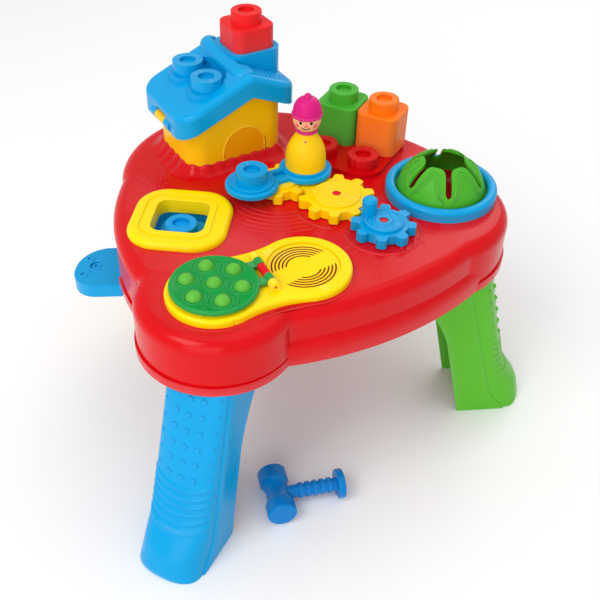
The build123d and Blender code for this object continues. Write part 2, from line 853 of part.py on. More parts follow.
# Dome group: bowl hung in the tabletop, soft petal dome on its flange, ring clamped over both
dome_plane = turned(dome_center, 0, top_z)
dome_side = Plane(origin=dome_plane.origin, x_dir=(1, 0, 0), z_dir=(0, -1, 0))
dome_axis = Axis(dome_plane.origin, (0, 0, 1))
dome_foot = 2 * flange_height
with BuildPart() as bowl:
    with BuildSketch(dome_side):
        with BuildLine():
            bowl_edge = Polyline((0, -bowl_depth), (bowl_radius - bowl_depth, -bowl_depth))
            RadiusArc(bowl_edge @ 1, (bowl_radius, 0), -bowl_depth)
            Polyline((bowl_radius, 0), (flange_radius, 0), (flange_radius, flange_height))
            Polyline((flange_radius, flange_height), (bowl_radius - wall, flange_height))
            bowl_lip = Line((bowl_radius - wall, flange_height), (bowl_radius - wall, 0))
            RadiusArc(bowl_lip @ 1, (bowl_radius - bowl_depth, wall - bowl_depth), bowl_depth - wall)
            Polyline((bowl_radius - bowl_depth, wall - bowl_depth), (0, wall - bowl_depth), (0, -bowl_depth))
        make_face()
    revolve(axis=dome_axis)
save(bowl.part, "dome_bowl")

# What is cut out of the dome: a round space less one tongue for each petal, with round slot ends
petal_foot = petal_slot_reach + petal_slot
half_petal = radians(180 / petal_count)
petal_foot_width = 2 * petal_foot * tan(half_petal) - petal_slot / cos(half_petal)
with BuildSketch() as petal_tongue:
    with BuildLine():
        Polyline(
            (petal_tip, -petal_tip_width / 2),
            (petal_foot, -petal_foot_width / 2),
            (petal_foot, petal_foot_width / 2),
            (petal_tip, petal_tip_width / 2),
            close=True,
        )
    make_face()
    fillet(petal_tongue.vertices().group_by(Axis.X)[0], petal_tip_round)

with BuildPart() as petal_gaps:
    with BuildSketch(dome_plane.offset(dome_foot)):
        Circle(petal_slot_reach)
        with PolarLocations(0, petal_count):
            add(petal_tongue.sketch, mode=Mode.SUBTRACT)
        with PolarLocations(petal_slot_reach, petal_count, start_angle=180 / petal_count):
            Circle(petal_slot / 2)
    extrude(amount=dome_rise + dome_wall)

dome_sphere = (dome_radius**2 + dome_rise**2) / (2 * dome_rise)
with BuildPart() as petal_dome:
    with BuildSketch(dome_side):
        with BuildLine():
            Line((dome_radius, dome_foot), (dome_radius - dome_wall, dome_foot))
            inner_edge = RadiusArc(
                (dome_radius - dome_wall, dome_foot), (0, dome_foot + dome_rise - dome_wall), -dome_sphere
            )
            Line(inner_edge @ 1, (0, dome_foot + dome_rise))
            RadiusArc((0, dome_foot + dome_rise), (dome_radius, dome_foot), dome_sphere)
        make_face()
        with Locations((bowl_radius - wall, flange_height)):
            Rectangle(flange_radius - bowl_radius + wall, flange_height, align=(Align.MIN, Align.MIN))
    revolve(axis=dome_axis)
    add(petal_gaps.part, mode=Mode.SUBTRACT)
save(petal_dome.part, "petal_dome")

with BuildPart() as dome_ring:
    with BuildSketch(dome_side) as ring_profile:
        with BuildLine():
            Polyline(
                (ring_outer, 0),
                (ring_outer, ring_height),
                (ring_inner, ring_height),
                (ring_inner, dome_foot + touch_gap),
                (flange_radius + touch_gap, dome_foot + touch_gap),
                (flange_radius + touch_gap, 0),
                close=True,
            )
        make_face()
        fillet(ring_profile.vertices().sort_by(Axis.Y)[-2:], ring_round)
    revolve(axis=dome_axis)
save(dome_ring.part, "dome_ring")


# Music pad plate: sits on the tabletop, with speaker slots, a button hole and two hinge knuckles
hinge_z = pad_height + lid_knuckle_radius + touch_gap
lid_z = pad_height + lid_rise - lid_height
lid_side = Plane(origin=pad_plane.origin, x_dir=pad_plane.x_dir, z_dir=-pad_plane.y_dir)
with BuildPart() as music_plate:
    with BuildSketch(pad_plane):
        figure_eight(0)
    extrude(amount=pad_height)
    fillet(music_plate.faces().sort_by(Axis.Z)[-1].edges(), pad_round)
    with BuildSketch(pad_plane.offset(pad_height)):
        Circle(lid_seat_radius)
        Circle(lid_seat_radius - lid_seat_width, mode=Mode.SUBTRACT)
    extrude(amount=lid_z - pad_height - touch_gap)
    with BuildSketch(pad_plane.offset(pad_height)):
        Circle(button_radius + touch_gap)
    extrude(amount=-pad_height, mode=Mode.SUBTRACT)
    with BuildSketch(pad_plane.offset(pad_height)):
        with Locations((pad_distance, 0)):
            Circle(speaker_recess_radius)
    extrude(amount=-speaker_recess_depth, mode=Mode.SUBTRACT)
    with BuildSketch(pad_plane.offset(pad_height)):
        for slot_radius in slot_radii:
            for bearing in (slot_turn, slot_turn + 180):
                slot_line = CenterArc((pad_distance, 0), slot_radius, bearing - slot_arc / 2, slot_arc)
                SlotArc(slot_line, slot_width)
    extrude(amount=-pad_height, mode=Mode.SUBTRACT)
    for side in (-1, 1):
        with BuildSketch(lid_side.offset(side * lid_hinge_half)):
            with Locations((lid_hinge_offset, hinge_z)):
                Circle(lid_knuckle_radius)
            with Locations((lid_hinge_offset, 0)):
                Rectangle(2 * lid_knuckle_radius, hinge_z, align=(Align.CENTER, Align.MIN))
            with Locations((lid_hinge_offset, hinge_z)):
                Circle(lid_pin_radius, mode=Mode.SUBTRACT)
        extrude(amount=-side * lid_knuckle_width)
save(music_plate.part, "music_plate")


# Bubble lid: disc with raised bubbles, carried by two arms that turn on the hinge pin
arm_start = lid_hinge_half - lid_knuckle_width - hinge_end_gap
with BuildPart() as bubble_lid:
    with BuildSketch(pad_plane.offset(lid_z)):
        Circle(lid_radius)
    extrude(amount=lid_height)
    fillet(bubble_lid.faces().sort_by(Axis.Z)[-1].edges(), edge_round)
    bubble_sphere = (bubble_radius**2 + bubble_rise**2) / (2 * bubble_rise)
    bubble_sink = bubble_sphere - bubble_rise
    with Locations(pad_plane.offset(lid_z + lid_height - bubble_sink)):
        with PolarLocations(bubble_ring, bubble_count, start_angle=bubble_turn):
            Sphere(bubble_sphere)
        Sphere(bubble_sphere)
    with BuildSketch(pad_plane.offset(lid_z)):
        Circle(2 * lid_radius)
    extrude(amount=-bubble_sphere, mode=Mode.SUBTRACT)
    for side in (-1, 1):
        with BuildSketch(lid_side.offset(side * arm_start)):
            with Locations((lid_hinge_offset, hinge_z)):
                Circle(lid_knuckle_radius)
            with Locations((lid_hinge_offset, lid_z)):
                arm_length = lid_hinge_offset - lid_radius + lid_arm_place
                Rectangle(arm_length, lid_height, align=(Align.MAX, Align.MIN))
            with Locations((lid_hinge_offset, hinge_z)):
                Circle(lid_pin_radius + run_clearance, mode=Mode.SUBTRACT)
        extrude(amount=-side * lid_arm_width)
save(bubble_lid.part, "bubble_lid")

with BuildPart() as lid_pin:
    with BuildSketch(lid_side):
        with Locations((lid_hinge_offset, hinge_z)):
            Circle(lid_pin_radius)
    extrude(amount=lid_hinge_half, both=True)
save(lid_pin.part, "lid_hinge_pin")


# Sound button under the lid, kept in by a flange below the plate
flange_top_z = -touch_gap
stem_z = flange_top_z - button_flange_height
with BuildPart() as button:
    with BuildSketch(pad_plane.offset(flange_top_z)):
        Circle(button_radius)
    extrude(amount=pad_height + touch_gap + button_rise)
    fillet(button.faces().sort_by(Axis.Z)[-1].edges(), edge_round)
    with BuildSketch(pad_plane.offset(flange_top_z)):
        Circle(button_flange)
    extrude(amount=-button_flange_height)
    with BuildSketch(pad_plane.offset(stem_z)):
        Circle(button_stem)
    extrude(amount=-button_stem_length)
save(button.part, "sound_button")


# Electronics: tray under the plate, board with its switch, loudspeaker, batteries and their door
tray_inset = pad_overlap + tray_gap
board_z = -tray_depth + tray_wall + board_standoff
switch_height = stem_z - button_stem_length - button_travel - touch_gap - board_z - board_height
with BuildPart() as circuit_board:
    with BuildSketch(pad_plane.offset(board_z)):
        Circle(board_radius)
    extrude(amount=board_height)
save(circuit_board.part, "circuit_board")

with BuildPart() as switch:
    with BuildSketch(pad_plane.offset(board_z + board_height)):
        RectangleRounded(switch_width, switch_width, edge_round)
    extrude(amount=switch_height / 2)
    with BuildSketch(pad_plane.offset(board_z + board_height + switch_height / 2)):
        Circle(button_stem)
    extrude(amount=switch_height / 2)
save(switch.part, "push_switch")

speaker_plane = shifted(pad_plane, pad_distance, 0)
speaker_side = Plane(origin=speaker_plane.origin, x_dir=speaker_plane.x_dir, z_dir=-speaker_plane.y_dir)
with BuildPart() as speaker:
    with BuildSketch(speaker_side):
        with BuildLine():
            Polyline(
                (0, -speaker_depth / 2),
                (speaker_magnet, -speaker_depth / 2),
                (speaker_radius - speaker_rim, 0),
                (speaker_radius, 0),
                (speaker_radius, -speaker_rim),
                (speaker_magnet, -speaker_depth / 2 - speaker_rim),
                (speaker_magnet, -speaker_depth),
                (0, -speaker_depth),
                close=True,
            )
        make_face()
    revolve(axis=Axis(speaker_plane.origin, (0, 0, 1)))
save(speaker.part, "loudspeaker")

battery_row = battery_pitch * battery_count
box_length = battery_length + 2 * touch_gap
box_floor_z = -tray_depth - battery_box_height
with BuildPart() as tray:
    with BuildSketch(pad_plane.offset(-tray_depth)):
        figure_eight(tray_inset)
    extrude(amount=tray_depth)
    with BuildSketch(pad_plane.offset(tray_wall - tray_depth)):
        figure_eight(tray_inset + tray_wall)
    extrude(amount=tray_depth, mode=Mode.SUBTRACT)
    with BuildSketch(pad_plane.offset(tray_wall - tray_depth)):
        with PolarLocations(standoff_place, 3):
            Circle(standoff_radius)
    extrude(amount=board_standoff)
    with BuildSketch(speaker_plane.offset(box_floor_z)):
        Rectangle(box_length + 2 * tray_wall, battery_row + 2 * tray_wall)
    extrude(amount=battery_box_height)
    with BuildSketch(speaker_plane.offset(box_floor_z)):
        Rectangle(box_length, battery_row)
    extrude(amount=battery_box_height, mode=Mode.SUBTRACT)
save(tray.part, "electronics_tray")

battery_z = -tray_depth - battery_radius - touch_gap
batteries = []
for number in range(battery_count):
    across = (number - (battery_count - 1) / 2) * battery_pitch
    cell_plane = Plane(
        origin=speaker_plane.from_local_coords((-battery_length / 2, across, battery_z)),
        x_dir=(0, 0, 1),
        z_dir=speaker_plane.x_dir,
    )
    with BuildPart() as cell:
        with BuildSketch(cell_plane):
            Circle(battery_radius)
        extrude(amount=battery_length)
    batteries.append(cell.part)
save_group(batteries, "batteries")

with BuildPart() as battery_door:
    with BuildSketch(speaker_plane.offset(box_floor_z)):
        Rectangle(box_length + 2 * tray_wall, battery_row + 2 * tray_wall)
    extrude(amount=-battery_door_height)
    with BuildSketch(speaker_plane.offset(box_floor_z)):
        Rectangle(box_length - 2 * touch_gap, battery_row - 2 * touch_gap)
    extrude(amount=battery_door_lip)
save(battery_door.part, "battery_door")


# Gears: involute teeth with rounded tips, a raised hub and a counterbore for the axle's head
def involute(angle):
    """Involute function of an angle in radians."""
    return tan(angle) - angle


def gear_outline(teeth):
    """Face of a gear with one tooth along the x direction."""
    pitch_radius = gear_module * teeth / 2
    base_radius = pitch_radius * cos(radians(gear_pressure_angle))
    tip_radius = pitch_radius + gear_addendum_share * gear_module
    root_radius = pitch_radius - gear_dedendum_share * gear_module
    half_thickness = (pi * gear_module / 2 - gear_backlash) / (2 * pitch_radius)
    half_base = half_thickness + involute(radians(gear_pressure_angle))
    flank = []
    for step in range(flank_points):
        radius = base_radius + (tip_radius - base_radius) * step / (flank_points - 1)
        roll = sqrt((radius / base_radius) ** 2 - 1)
        half_angle = half_base - (roll - atan(roll))
        flank.append((radius * cos(half_angle), radius * sin(half_angle)))
    mirrored = [(x, -y) for x, y in flank]
    foot = (root_radius * cos(half_base) - wall, root_radius * sin(half_base))
    foot_mirrored = (foot[0], -foot[1])
    with BuildSketch() as outline:
        with BuildLine():
            Spline(*flank)
            ThreePointArc(flank[-1], (tip_radius, 0), mirrored[-1])
            Spline(*mirrored)
            Polyline(mirrored[0], foot_mirrored, foot, flank[0])
        make_face()
        fillet(outline.vertices().sort_by(Axis.X)[-2:], tooth_round)
    with BuildSketch() as whole:
        Circle(root_radius)
        with PolarLocations(0, teeth):
            add(outline.sketch)
    return whole.sketch


def make_gear(center, teeth, turn):
    """A gear on its axle, with its first tooth at a bearing."""
    bottom = turned(center, turn, gear_bottom_z)
    with BuildPart() as gear:
        with BuildSketch(bottom):
            add(gear_outline(teeth))
        extrude(amount=gear_height)
        with BuildSketch(bottom.offset(gear_height)):
            Circle(gear_hub_share * gear_module * teeth / 2)
        extrude(amount=gear_hub_height)
        with BuildSketch(bottom):
            Circle(axle_radius + run_clearance)
        extrude(amount=gear_height + gear_hub_height, mode=Mode.SUBTRACT)
        with BuildSketch(bottom.offset(axle_head_z - gear_bottom_z - thrust_gap)):
            Circle(axle_head_radius + axle_head_clearance)
        extrude(amount=gear_height, mode=Mode.SUBTRACT)
    return gear.part


middle_turn = carousel_bearing + 180
carousel_turn = carousel_bearing + 180 / small_teeth
tooth_lead = (middle_turn - crank_bearing) % (360 / large_teeth)
crank_gear_turn = crank_bearing + 180 - tooth_lead * large_teeth / small_teeth + 180 / small_teeth
save(make_gear(middle_center, large_teeth, middle_turn), "middle_gear")

with BuildPart() as carousel_gear:
    add(make_gear(carousel_center, small_teeth, carousel_turn))
    with BuildSketch(turned(carousel_center, arm_turn, gear_hub_z)):
        with Locations((-arm_peg_place, 0), (arm_peg_place, 0)):
            Circle(arm_peg_radius)
    extrude(amount=-arm_peg_length, mode=Mode.SUBTRACT)
save(carousel_gear.part, "carousel_gear")

with BuildPart() as crank_gear:
    add(make_gear(crank_center, small_teeth, crank_gear_turn))
    with BuildSketch(turned(polar(crank_center, crank_place, crank_turn), 0, gear_face_z)):
        Circle(crank_radius)
    extrude(amount=crank_height)
    fillet(crank_gear.faces().sort_by(Axis.Z)[-1].edges(), crank_radius / 2)
save(crank_gear.part, "crank_gear")

axles = []
for axle_place in axle_places:
    head_plane = turned(axle_place, 0, axle_head_z)
    with BuildPart() as axle:
        with BuildSketch(head_plane):
            Circle(axle_head_radius)
        extrude(amount=axle_head_height)
        fillet(axle.faces().sort_by(Axis.Z)[-1].edges(), edge_round / 2)
        with BuildSketch(head_plane):
            Circle(axle_radius)
        extrude(amount=-(axle_head_z - under_top_z + axle_boss_depth))
    axles.append(axle.part)
save_group(axles, "gear_axles")


# Carousel arm: two stud pads on a waist, pegged into the gear below
arm_plane = turned(carousel_center, arm_turn, gear_hub_z)
arm_top = arm_plane.offset(arm_height + arm_tier_height)
pad_places = [(-arm_reach, 0), (arm_reach, 0)]
with BuildPart() as arm:
    with BuildSketch(arm_plane) as arm_plan:
        with Locations(*pad_places):
            Circle(arm_pad_radius)
        Rectangle(2 * arm_reach, arm_waist)
    extrude(amount=arm_height)
    fillet(arm.faces().sort_by(Axis.Z)[-1].edges(), arm_round)
    with BuildSketch(arm_plane.offset(arm_height)):
        with Locations(*pad_places):
            Circle(arm_tier_radius)
    extrude(amount=arm_tier_height)
    fillet(arm.faces().group_by(Axis.Z)[-1].edges(), arm_tier_round)
    with BuildSketch(arm_top):
        with Locations(*pad_places):
            Circle(stud_radius)
    extrude(amount=stud_height)
    with BuildSketch(arm_top.offset(stud_height)):
        with Locations(*pad_places):
            Circle(stud_dimple_radius)
    extrude(amount=-stud_dimple_depth, mode=Mode.SUBTRACT)
    with BuildSketch(arm_plane.offset(arm_height)):
        Rectangle(arm_recess_length, arm_recess_width)
    extrude(amount=-arm_recess_depth, mode=Mode.SUBTRACT)
    with BuildSketch(arm_plane):
        with Locations((-arm_peg_place, 0), (arm_peg_place, 0)):
            Circle(arm_peg_radius)
    extrude(amount=-arm_peg_length)
save(arm.part, "carousel_arm")


# Peg doll: bell-shaped body over a stud, ball head on a peg, plain cap
doll_plane = shifted(arm_top, arm_reach, 0)
doll_side = Plane(origin=doll_plane.origin, x_dir=(1, 0, 0), z_dir=(0, -1, 0))
doll_axis = Axis(doll_plane.origin, (0, 0, 1))
head_height = doll_body_height + doll_head_radius - doll_head_sink
with BuildPart() as doll_body:
    with BuildSketch(doll_side):
        with BuildLine():
            Polyline((0, doll_body_height), (0, 0), (doll_base_radius, 0))
            Line((doll_base_radius, 0), (doll_base_radius, doll_base_height / 2))
            Spline(
                (doll_base_radius, doll_base_height / 2),
                ((doll_base_radius + doll_neck_radius) / 2, (doll_base_height + doll_body_height) / 2),
                (doll_neck_radius, doll_body_height),
                tangents=[(0, 1), (0, 1)],
            )
            Line((doll_neck_radius, doll_body_height), (0, doll_body_height))
        make_face()
    revolve(axis=doll_axis)
    with BuildSketch(doll_plane):
        Circle(stud_radius + stud_clearance)
    extrude(amount=stud_height + stud_clearance, mode=Mode.SUBTRACT)
    with BuildSketch(doll_plane.offset(doll_body_height)):
        Circle(doll_peg_radius)
    extrude(amount=-doll_peg_length, mode=Mode.SUBTRACT)
save(doll_body.part, "doll_body")

with BuildPart() as doll_head:
    with Locations(doll_plane.offset(head_height)):
        Sphere(doll_head_radius)
    with BuildSketch(doll_plane.offset(doll_body_height)):
        Circle(doll_base_radius)
    extrude(amount=-doll_head_radius, mode=Mode.SUBTRACT)
    with BuildSketch(doll_plane.offset(doll_body_height)):
        Circle(doll_peg_radius)
    extrude(amount=-doll_peg_length)
save(doll_head.part, "doll_head")

with BuildPart() as doll_cap:
    with BuildSketch(doll_side):
        with BuildLine():
            cap_low = head_height + doll_cap_start
            cap_top = cap_low + doll_cap_rise
            Polyline((0, cap_low), (doll_cap_radius, cap_low))
            Spline((doll_cap_radius, cap_low), (0, cap_top), tangents=[(0, 1), (-1, 0)])
            Line((0, cap_top), (0, cap_low))
        make_face()
    revolve(axis=doll_axis)
    with Locations(doll_plane.offset(head_height)):
        Sphere(doll_head_radius, mode=Mode.SUBTRACT)
save(doll_cap.part, "doll_cap")


# Hammer: waisted double-ended head and a ringed handle with a broad end, lying on the floor
hammer_plane = turned(hammer_center, hammer_turn, hammer_head_radius)
handle_axis = Axis(hammer_plane.origin, hammer_plane.x_dir)
head_axis = Axis(hammer_plane.origin, hammer_plane.y_dir)
half_head = hammer_head_length / 2
with BuildPart() as hammer_head:
    with BuildSketch(hammer_plane) as head_profile:
        with BuildLine():
            waist_start = (hammer_head_radius, -half_head / 2)
            waist_end = (hammer_head_radius, half_head / 2)
            Polyline((0, -half_head), (hammer_head_radius, -half_head), waist_start)
            ThreePointArc(waist_start, (hammer_head_waist, 0), waist_end)
            Polyline(waist_end, (hammer_head_radius, half_head), (0, half_head), (0, -half_head))
        make_face()
        rows = head_profile.vertices().group_by(Axis.Y)
        for row in (rows[0], rows[-1]):
            fillet(row.sort_by(Axis.X)[-1], 2 * edge_round)
    revolve(axis=head_axis)
    socket_side = Plane(origin=hammer_plane.origin, x_dir=hammer_plane.y_dir, z_dir=hammer_plane.x_dir)
    with BuildSketch(socket_side):
        Circle(hammer_handle_radius)
    extrude(amount=hammer_head_radius, mode=Mode.SUBTRACT)
save(hammer_head.part, "hammer_head")

handle_end = hammer_head_waist + hammer_handle_length
with BuildPart() as hammer_handle:
    with BuildSketch(socket_side):
        Circle(hammer_handle_radius)
    extrude(amount=handle_end)
    for number in range(hammer_grip_count):
        ring_start = hammer_head_radius + (number + 1) * hammer_grip_pitch
        with BuildSketch(socket_side.offset(ring_start)):
            Circle(hammer_handle_radius + hammer_grip_height)
        extrude(amount=hammer_grip_width)
    with BuildSketch(socket_side.offset(handle_end - hammer_end_length)):
        Circle(hammer_head_radius)
    extrude(amount=hammer_end_length)
    fillet(hammer_handle.edges().filter_by(GeomType.CIRCLE).group_by(SortBy.RADIUS)[-1], edge_round)
save(hammer_handle.part, "hammer_handle")
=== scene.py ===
"""Looks of the activity table: finishes, moulded relief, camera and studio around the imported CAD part."""

import json
from functools import partial
from math import asin, atan2, cos, degrees, pi, radians, sin, sqrt, tau

import bmesh
import bpy
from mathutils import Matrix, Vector


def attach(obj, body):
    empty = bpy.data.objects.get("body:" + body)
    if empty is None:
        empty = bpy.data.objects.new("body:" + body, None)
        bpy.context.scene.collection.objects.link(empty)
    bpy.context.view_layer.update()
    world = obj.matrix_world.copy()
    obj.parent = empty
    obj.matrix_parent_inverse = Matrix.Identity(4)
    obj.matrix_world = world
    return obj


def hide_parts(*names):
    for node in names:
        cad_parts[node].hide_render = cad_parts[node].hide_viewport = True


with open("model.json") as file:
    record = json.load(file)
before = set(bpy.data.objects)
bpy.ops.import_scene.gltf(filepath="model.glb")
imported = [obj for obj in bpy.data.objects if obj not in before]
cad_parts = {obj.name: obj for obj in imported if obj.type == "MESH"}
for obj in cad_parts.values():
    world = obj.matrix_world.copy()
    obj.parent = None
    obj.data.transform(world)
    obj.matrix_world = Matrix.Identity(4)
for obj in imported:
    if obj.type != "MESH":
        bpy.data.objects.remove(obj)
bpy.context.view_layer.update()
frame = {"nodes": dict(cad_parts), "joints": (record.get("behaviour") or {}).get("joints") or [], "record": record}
nodes = frame["nodes"]
joints = {joint["name"]: joint for joint in frame["joints"]}

# Named sizes are in millimetres and named angles in degrees, unless a comment says otherwise
MM = 0.001
UP = Vector((0, 0, 1))

# Places on the tabletop, measured from its middle, as in the part's source
CAROUSEL = (-12, 66)
BUTTON = (-75, -116)
SPEAKER = (10, -79)
SORTER = (-115, 3)
SORTER_TURN = 172
HOUSE = (-77, 156)
HOUSE_TURN = 29
DOME = (164, 60)
TOP_Z = 262

carousel_at = Vector(joints["carousel_spin"]["pos_m"])
table_middle = Vector((carousel_at.x - CAROUSEL[0] * MM, carousel_at.y - CAROUSEL[1] * MM, 0))


def joint_place(name):
    """Place of a joint on the tabletop."""
    offset = Vector(joints[name]["pos_m"]) - table_middle
    return offset.x / MM, offset.y / MM


CRANK = joint_place("crank_spin")
MIDDLE = joint_place("middle_spin")
PAD_TURN = atan2(SPEAKER[1] - BUTTON[1], SPEAKER[0] - BUTTON[0]) * 180 / pi


def spot(x, y, z=0.0):
    """Point in the shared frame for a place on the tabletop and a height above it."""
    return table_middle + Vector((x, y, TOP_Z + z)) * MM


def local(center, turn, x, y, z=0.0):
    """Like spot, for a place within a group that has its own middle and turn."""
    c, s = cos(radians(turn)), sin(radians(turn))
    return spot(center[0] + x * c - y * s, center[1] + x * s + y * c, z)


def on_house(x, y, z):
    """Point for a place measured from the house's middle."""
    return local(HOUSE, HOUSE_TURN, x, y, z)


def on_pad(x, y, z=0.0):
    """Point for a place on the music pad, measured from the button towards the speaker."""
    return local(BUTTON, PAD_TURN, x, y, z)


# Finishes: one procedural plastic, set for each of the record's material slots and for a few painted parts
SHEEN, METAL_SHEEN = 0.18, 0.5
MOTTLE, GRAIN, GLOSS_SWING = 0.05, 0.04, 0.05
CLOUD_SCALE, CLOUD_DETAIL = 16, 4
PORE_SCALE, PORE_DEPTH = 900, 0.3
# Painted edge highlight: pointiness range, greatest share and how far towards white
EDGE_LOW, EDGE_HIGH, EDGE_HIGHLIGHT, EDGE_PALE = 0.52, 0.64, 0.1, 0.5
SOFT_DEPTH, SOFT_RADIUS = 4, (1, 0.6, 0.4)


def shade(hex_colour):
    """Linear colour with alpha for a web colour, by the sRGB curve."""
    channels = [int(hex_colour[i : i + 2], 16) / 255 for i in (1, 3, 5)]
    linear = [c / 12.92 if c <= 0.04045 else ((c + 0.055) / 1.055) ** 2.4 for c in channels]
    return (*linear, 1)


def plastic(name, colour, rough, soft=0.0, metal=0.0):
    """Moulded plastic: faint clouds of colour and gloss, a fine grain and a painted highlight that makes sharp
    edges slightly paler.
    """
    material = bpy.data.materials.new(name)
    material.use_nodes = True
    tree = material.node_tree
    shader = tree.nodes["Principled BSDF"]
    place = tree.nodes.new("ShaderNodeTexCoord")

    clouds = tree.nodes.new("ShaderNodeTexNoise")
    clouds.inputs["Scale"].default_value = CLOUD_SCALE
    clouds.inputs["Detail"].default_value = CLOUD_DETAIL
    tree.links.new(place.outputs["Object"], clouds.inputs["Vector"])

    base = shade(colour)
    tint = tree.nodes.new("ShaderNodeMix")
    tint.data_type = "RGBA"
    tint.inputs[6].default_value = (*[c * (1 - MOTTLE) for c in base[:3]], 1)
    tint.inputs[7].default_value = (*[min(1, c * (1 + MOTTLE)) for c in base[:3]], 1)
    tree.links.new(clouds.outputs["Fac"], tint.inputs[0])

    # Painted highlight: the sharper an edge, the more its colour is mixed towards white
    geometry = tree.nodes.new("ShaderNodeNewGeometry")
    edge = tree.nodes.new("ShaderNodeMapRange")
    edge.inputs["From Min"].default_value = EDGE_LOW
    edge.inputs["From Max"].default_value = EDGE_HIGH
    edge.inputs["To Max"].default_value = EDGE_HIGHLIGHT
    tree.links.new(geometry.outputs["Pointiness"], edge.inputs["Value"])
    edge_highlight = tree.nodes.new("ShaderNodeMix")
    edge_highlight.data_type = "RGBA"
    edge_highlight.inputs[7].default_value = (*[c + (1 - c) * EDGE_PALE for c in base[:3]], 1)
    tree.links.new(edge.outputs["Result"], edge_highlight.inputs[0])
    tree.links.new(tint.outputs[2], edge_highlight.inputs[6])
    tree.links.new(edge_highlight.outputs[2], shader.inputs["Base Color"])

    gloss = tree.nodes.new("ShaderNodeMapRange")
    gloss.inputs["To Min"].default_value = rough - GLOSS_SWING
    gloss.inputs["To Max"].default_value = rough + GLOSS_SWING
    tree.links.new(clouds.outputs["Fac"], gloss.inputs["Value"])
    tree.links.new(gloss.outputs["Result"], shader.inputs["Roughness"])

    pores = tree.nodes.new("ShaderNodeTexNoise")
    pores.inputs["Scale"].default_value = PORE_SCALE
    tree.links.new(place.outputs["Object"], pores.inputs["Vector"])
    bump = tree.nodes.new("ShaderNodeBump")
    bump.inputs["Strength"].default_value = GRAIN
    bump.inputs["Distance"].default_value = PORE_DEPTH * MM
    tree.links.new(pores.outputs["Fac"], bump.inputs["Height"])
    tree.links.new(bump.outputs["Normal"], shader.inputs["Normal"])

    shader.inputs["Metallic"].default_value = metal
    shader.inputs["Specular IOR Level"].default_value = METAL_SHEEN if metal else SHEEN
    shader.inputs["Subsurface Weight"].default_value = soft
    shader.inputs["Subsurface Scale"].default_value = SOFT_DEPTH * MM
    shader.inputs["Subsurface Radius"].default_value = SOFT_RADIUS
    return material


# Colour, roughness and, where they aren't zero, softness and metal
LOOKS = {
    "table_red": ("#D2040F", 0.2),
    "leg_blue": ("#009CD8", 0.25),
    "leg_green": ("#5CB82A", 0.25),
    "leg_yellow": ("#F7C808", 0.25),
    "steel": ("#B4B6B8", 0.35, 0, 1),
    "frame_yellow": ("#FFDA00", 0.24),
    "chute_blue": ("#009CD8", 0.25),
    "block_blue": ("#0B9BE0", 0.42, 0.06),
    "block_green": ("#46AE2E", 0.42, 0.06),
    "block_orange": ("#F8780E", 0.42, 0.06),
    "block_red": ("#E41C20", 0.42, 0.06),
    "house_yellow": ("#FBC400", 0.25),
    "roof_blue": ("#009CD8", 0.22),
    "bowl_red": ("#B80F18", 0.32),
    "petal_green": ("#4AAE26", 0.36, 0.05),
    "ring_blue": ("#009CD8", 0.22),
    "pad_yellow": ("#FFDA00", 0.24),
    "lid_green": ("#05963C", 0.25),
    "pin_red": ("#DC0612", 0.25),
    "button_red": ("#E0342A", 0.25),
    "dark_plastic": ("#303236", 0.5),
    "board_green": ("#1E6B3A", 0.4),
    "switch_rubber": ("#D8D8D4", 0.55),
    "speaker_black": ("#1C1C1E", 0.5),
    "battery_jacket": ("#3A4A5A", 0.35),
    "axle_red": ("#DC0612", 0.25),
    "gear_yellow": ("#FFD200", 0.25),
    "gear_blue": ("#009CD8", 0.25),
    "arm_blue": ("#009CD8", 0.24),
    "doll_yellow": ("#F7C80A", 0.4),
    "doll_skin": ("#F0B48A", 0.42, 0.05),
    "doll_magenta": ("#D4147A", 0.38),
    "hammer_blue": ("#007CC8", 0.25),
    "bubble_green": ("#5DB53A", 0.25, 0.05),
    # Painted shade: the door's recess, drawn as a flat panel darker than the wall
    "door_painted_shade": ("#F0A400", 0.35),
    # Painted shade: the dark inside of the speaker's slots
    "slot_painted_shade": ("#8A2006", 0.7),
    "paint_black": ("#141214", 0.35),
    "paint_blush": ("#E8776A", 0.45),
}
finishes = {name: plastic(name, *look) for name, look in LOOKS.items()}

EDGE_WIDTHS = {
    "tabletop_shell": 0.6,
    "sorter_frame": 0.8,
    "chute": 1.4,
    "house_walls": 0.8,
    "house_roof": 1.2,
    "petal_dome": 0.5,
    "music_plate": 0.5,
    "carousel_gear": 1.0,
    "middle_gear": 1.0,
    "crank_gear": 1.0,
    "carousel_arm": 1.0,
    "doll_body": 1.2,
    "hammer_handle": 0.8,
    "hammer_head": 0.8,
}
EDGE_ANGLE, EDGE_SEGMENTS = 35, 2
WELD_REACH = 0.01
FLAT_NODE = "tabletop_shell"


def round_edges(piece, width, flat=False):
    """Rounds a piece's sharp edges and shades it evenly, or keeps the shading of a large flat piece."""
    if not flat:
        piece.modifiers.new("joined", "WELD").merge_threshold = WELD_REACH * MM
    rounding = piece.modifiers.new("edges", "BEVEL")
    rounding.width = width * MM
    rounding.segments = EDGE_SEGMENTS
    rounding.limit_method = "ANGLE"
    rounding.angle_limit = radians(EDGE_ANGLE)
    rounding.harden_normals = flat
    if not flat:
        piece.modifiers.new("even_shading", "WEIGHTED_NORMAL").keep_sharp = True


for row in frame["record"]["subparts"]:
    piece = nodes[row["node"]]
    piece.data.materials.clear()
    piece.data.materials.append(finishes[row["material_slot"]])
    if row["node"] in EDGE_WIDTHS:
        round_edges(piece, EDGE_WIDTHS[row["node"]], flat=row["node"] == FLAT_NODE)


# Relief: forms gathered in one mesh and moved with the body that carries them
RING_STEP, RING_LEAST = 5, 12
UPRIGHT = 1e-6


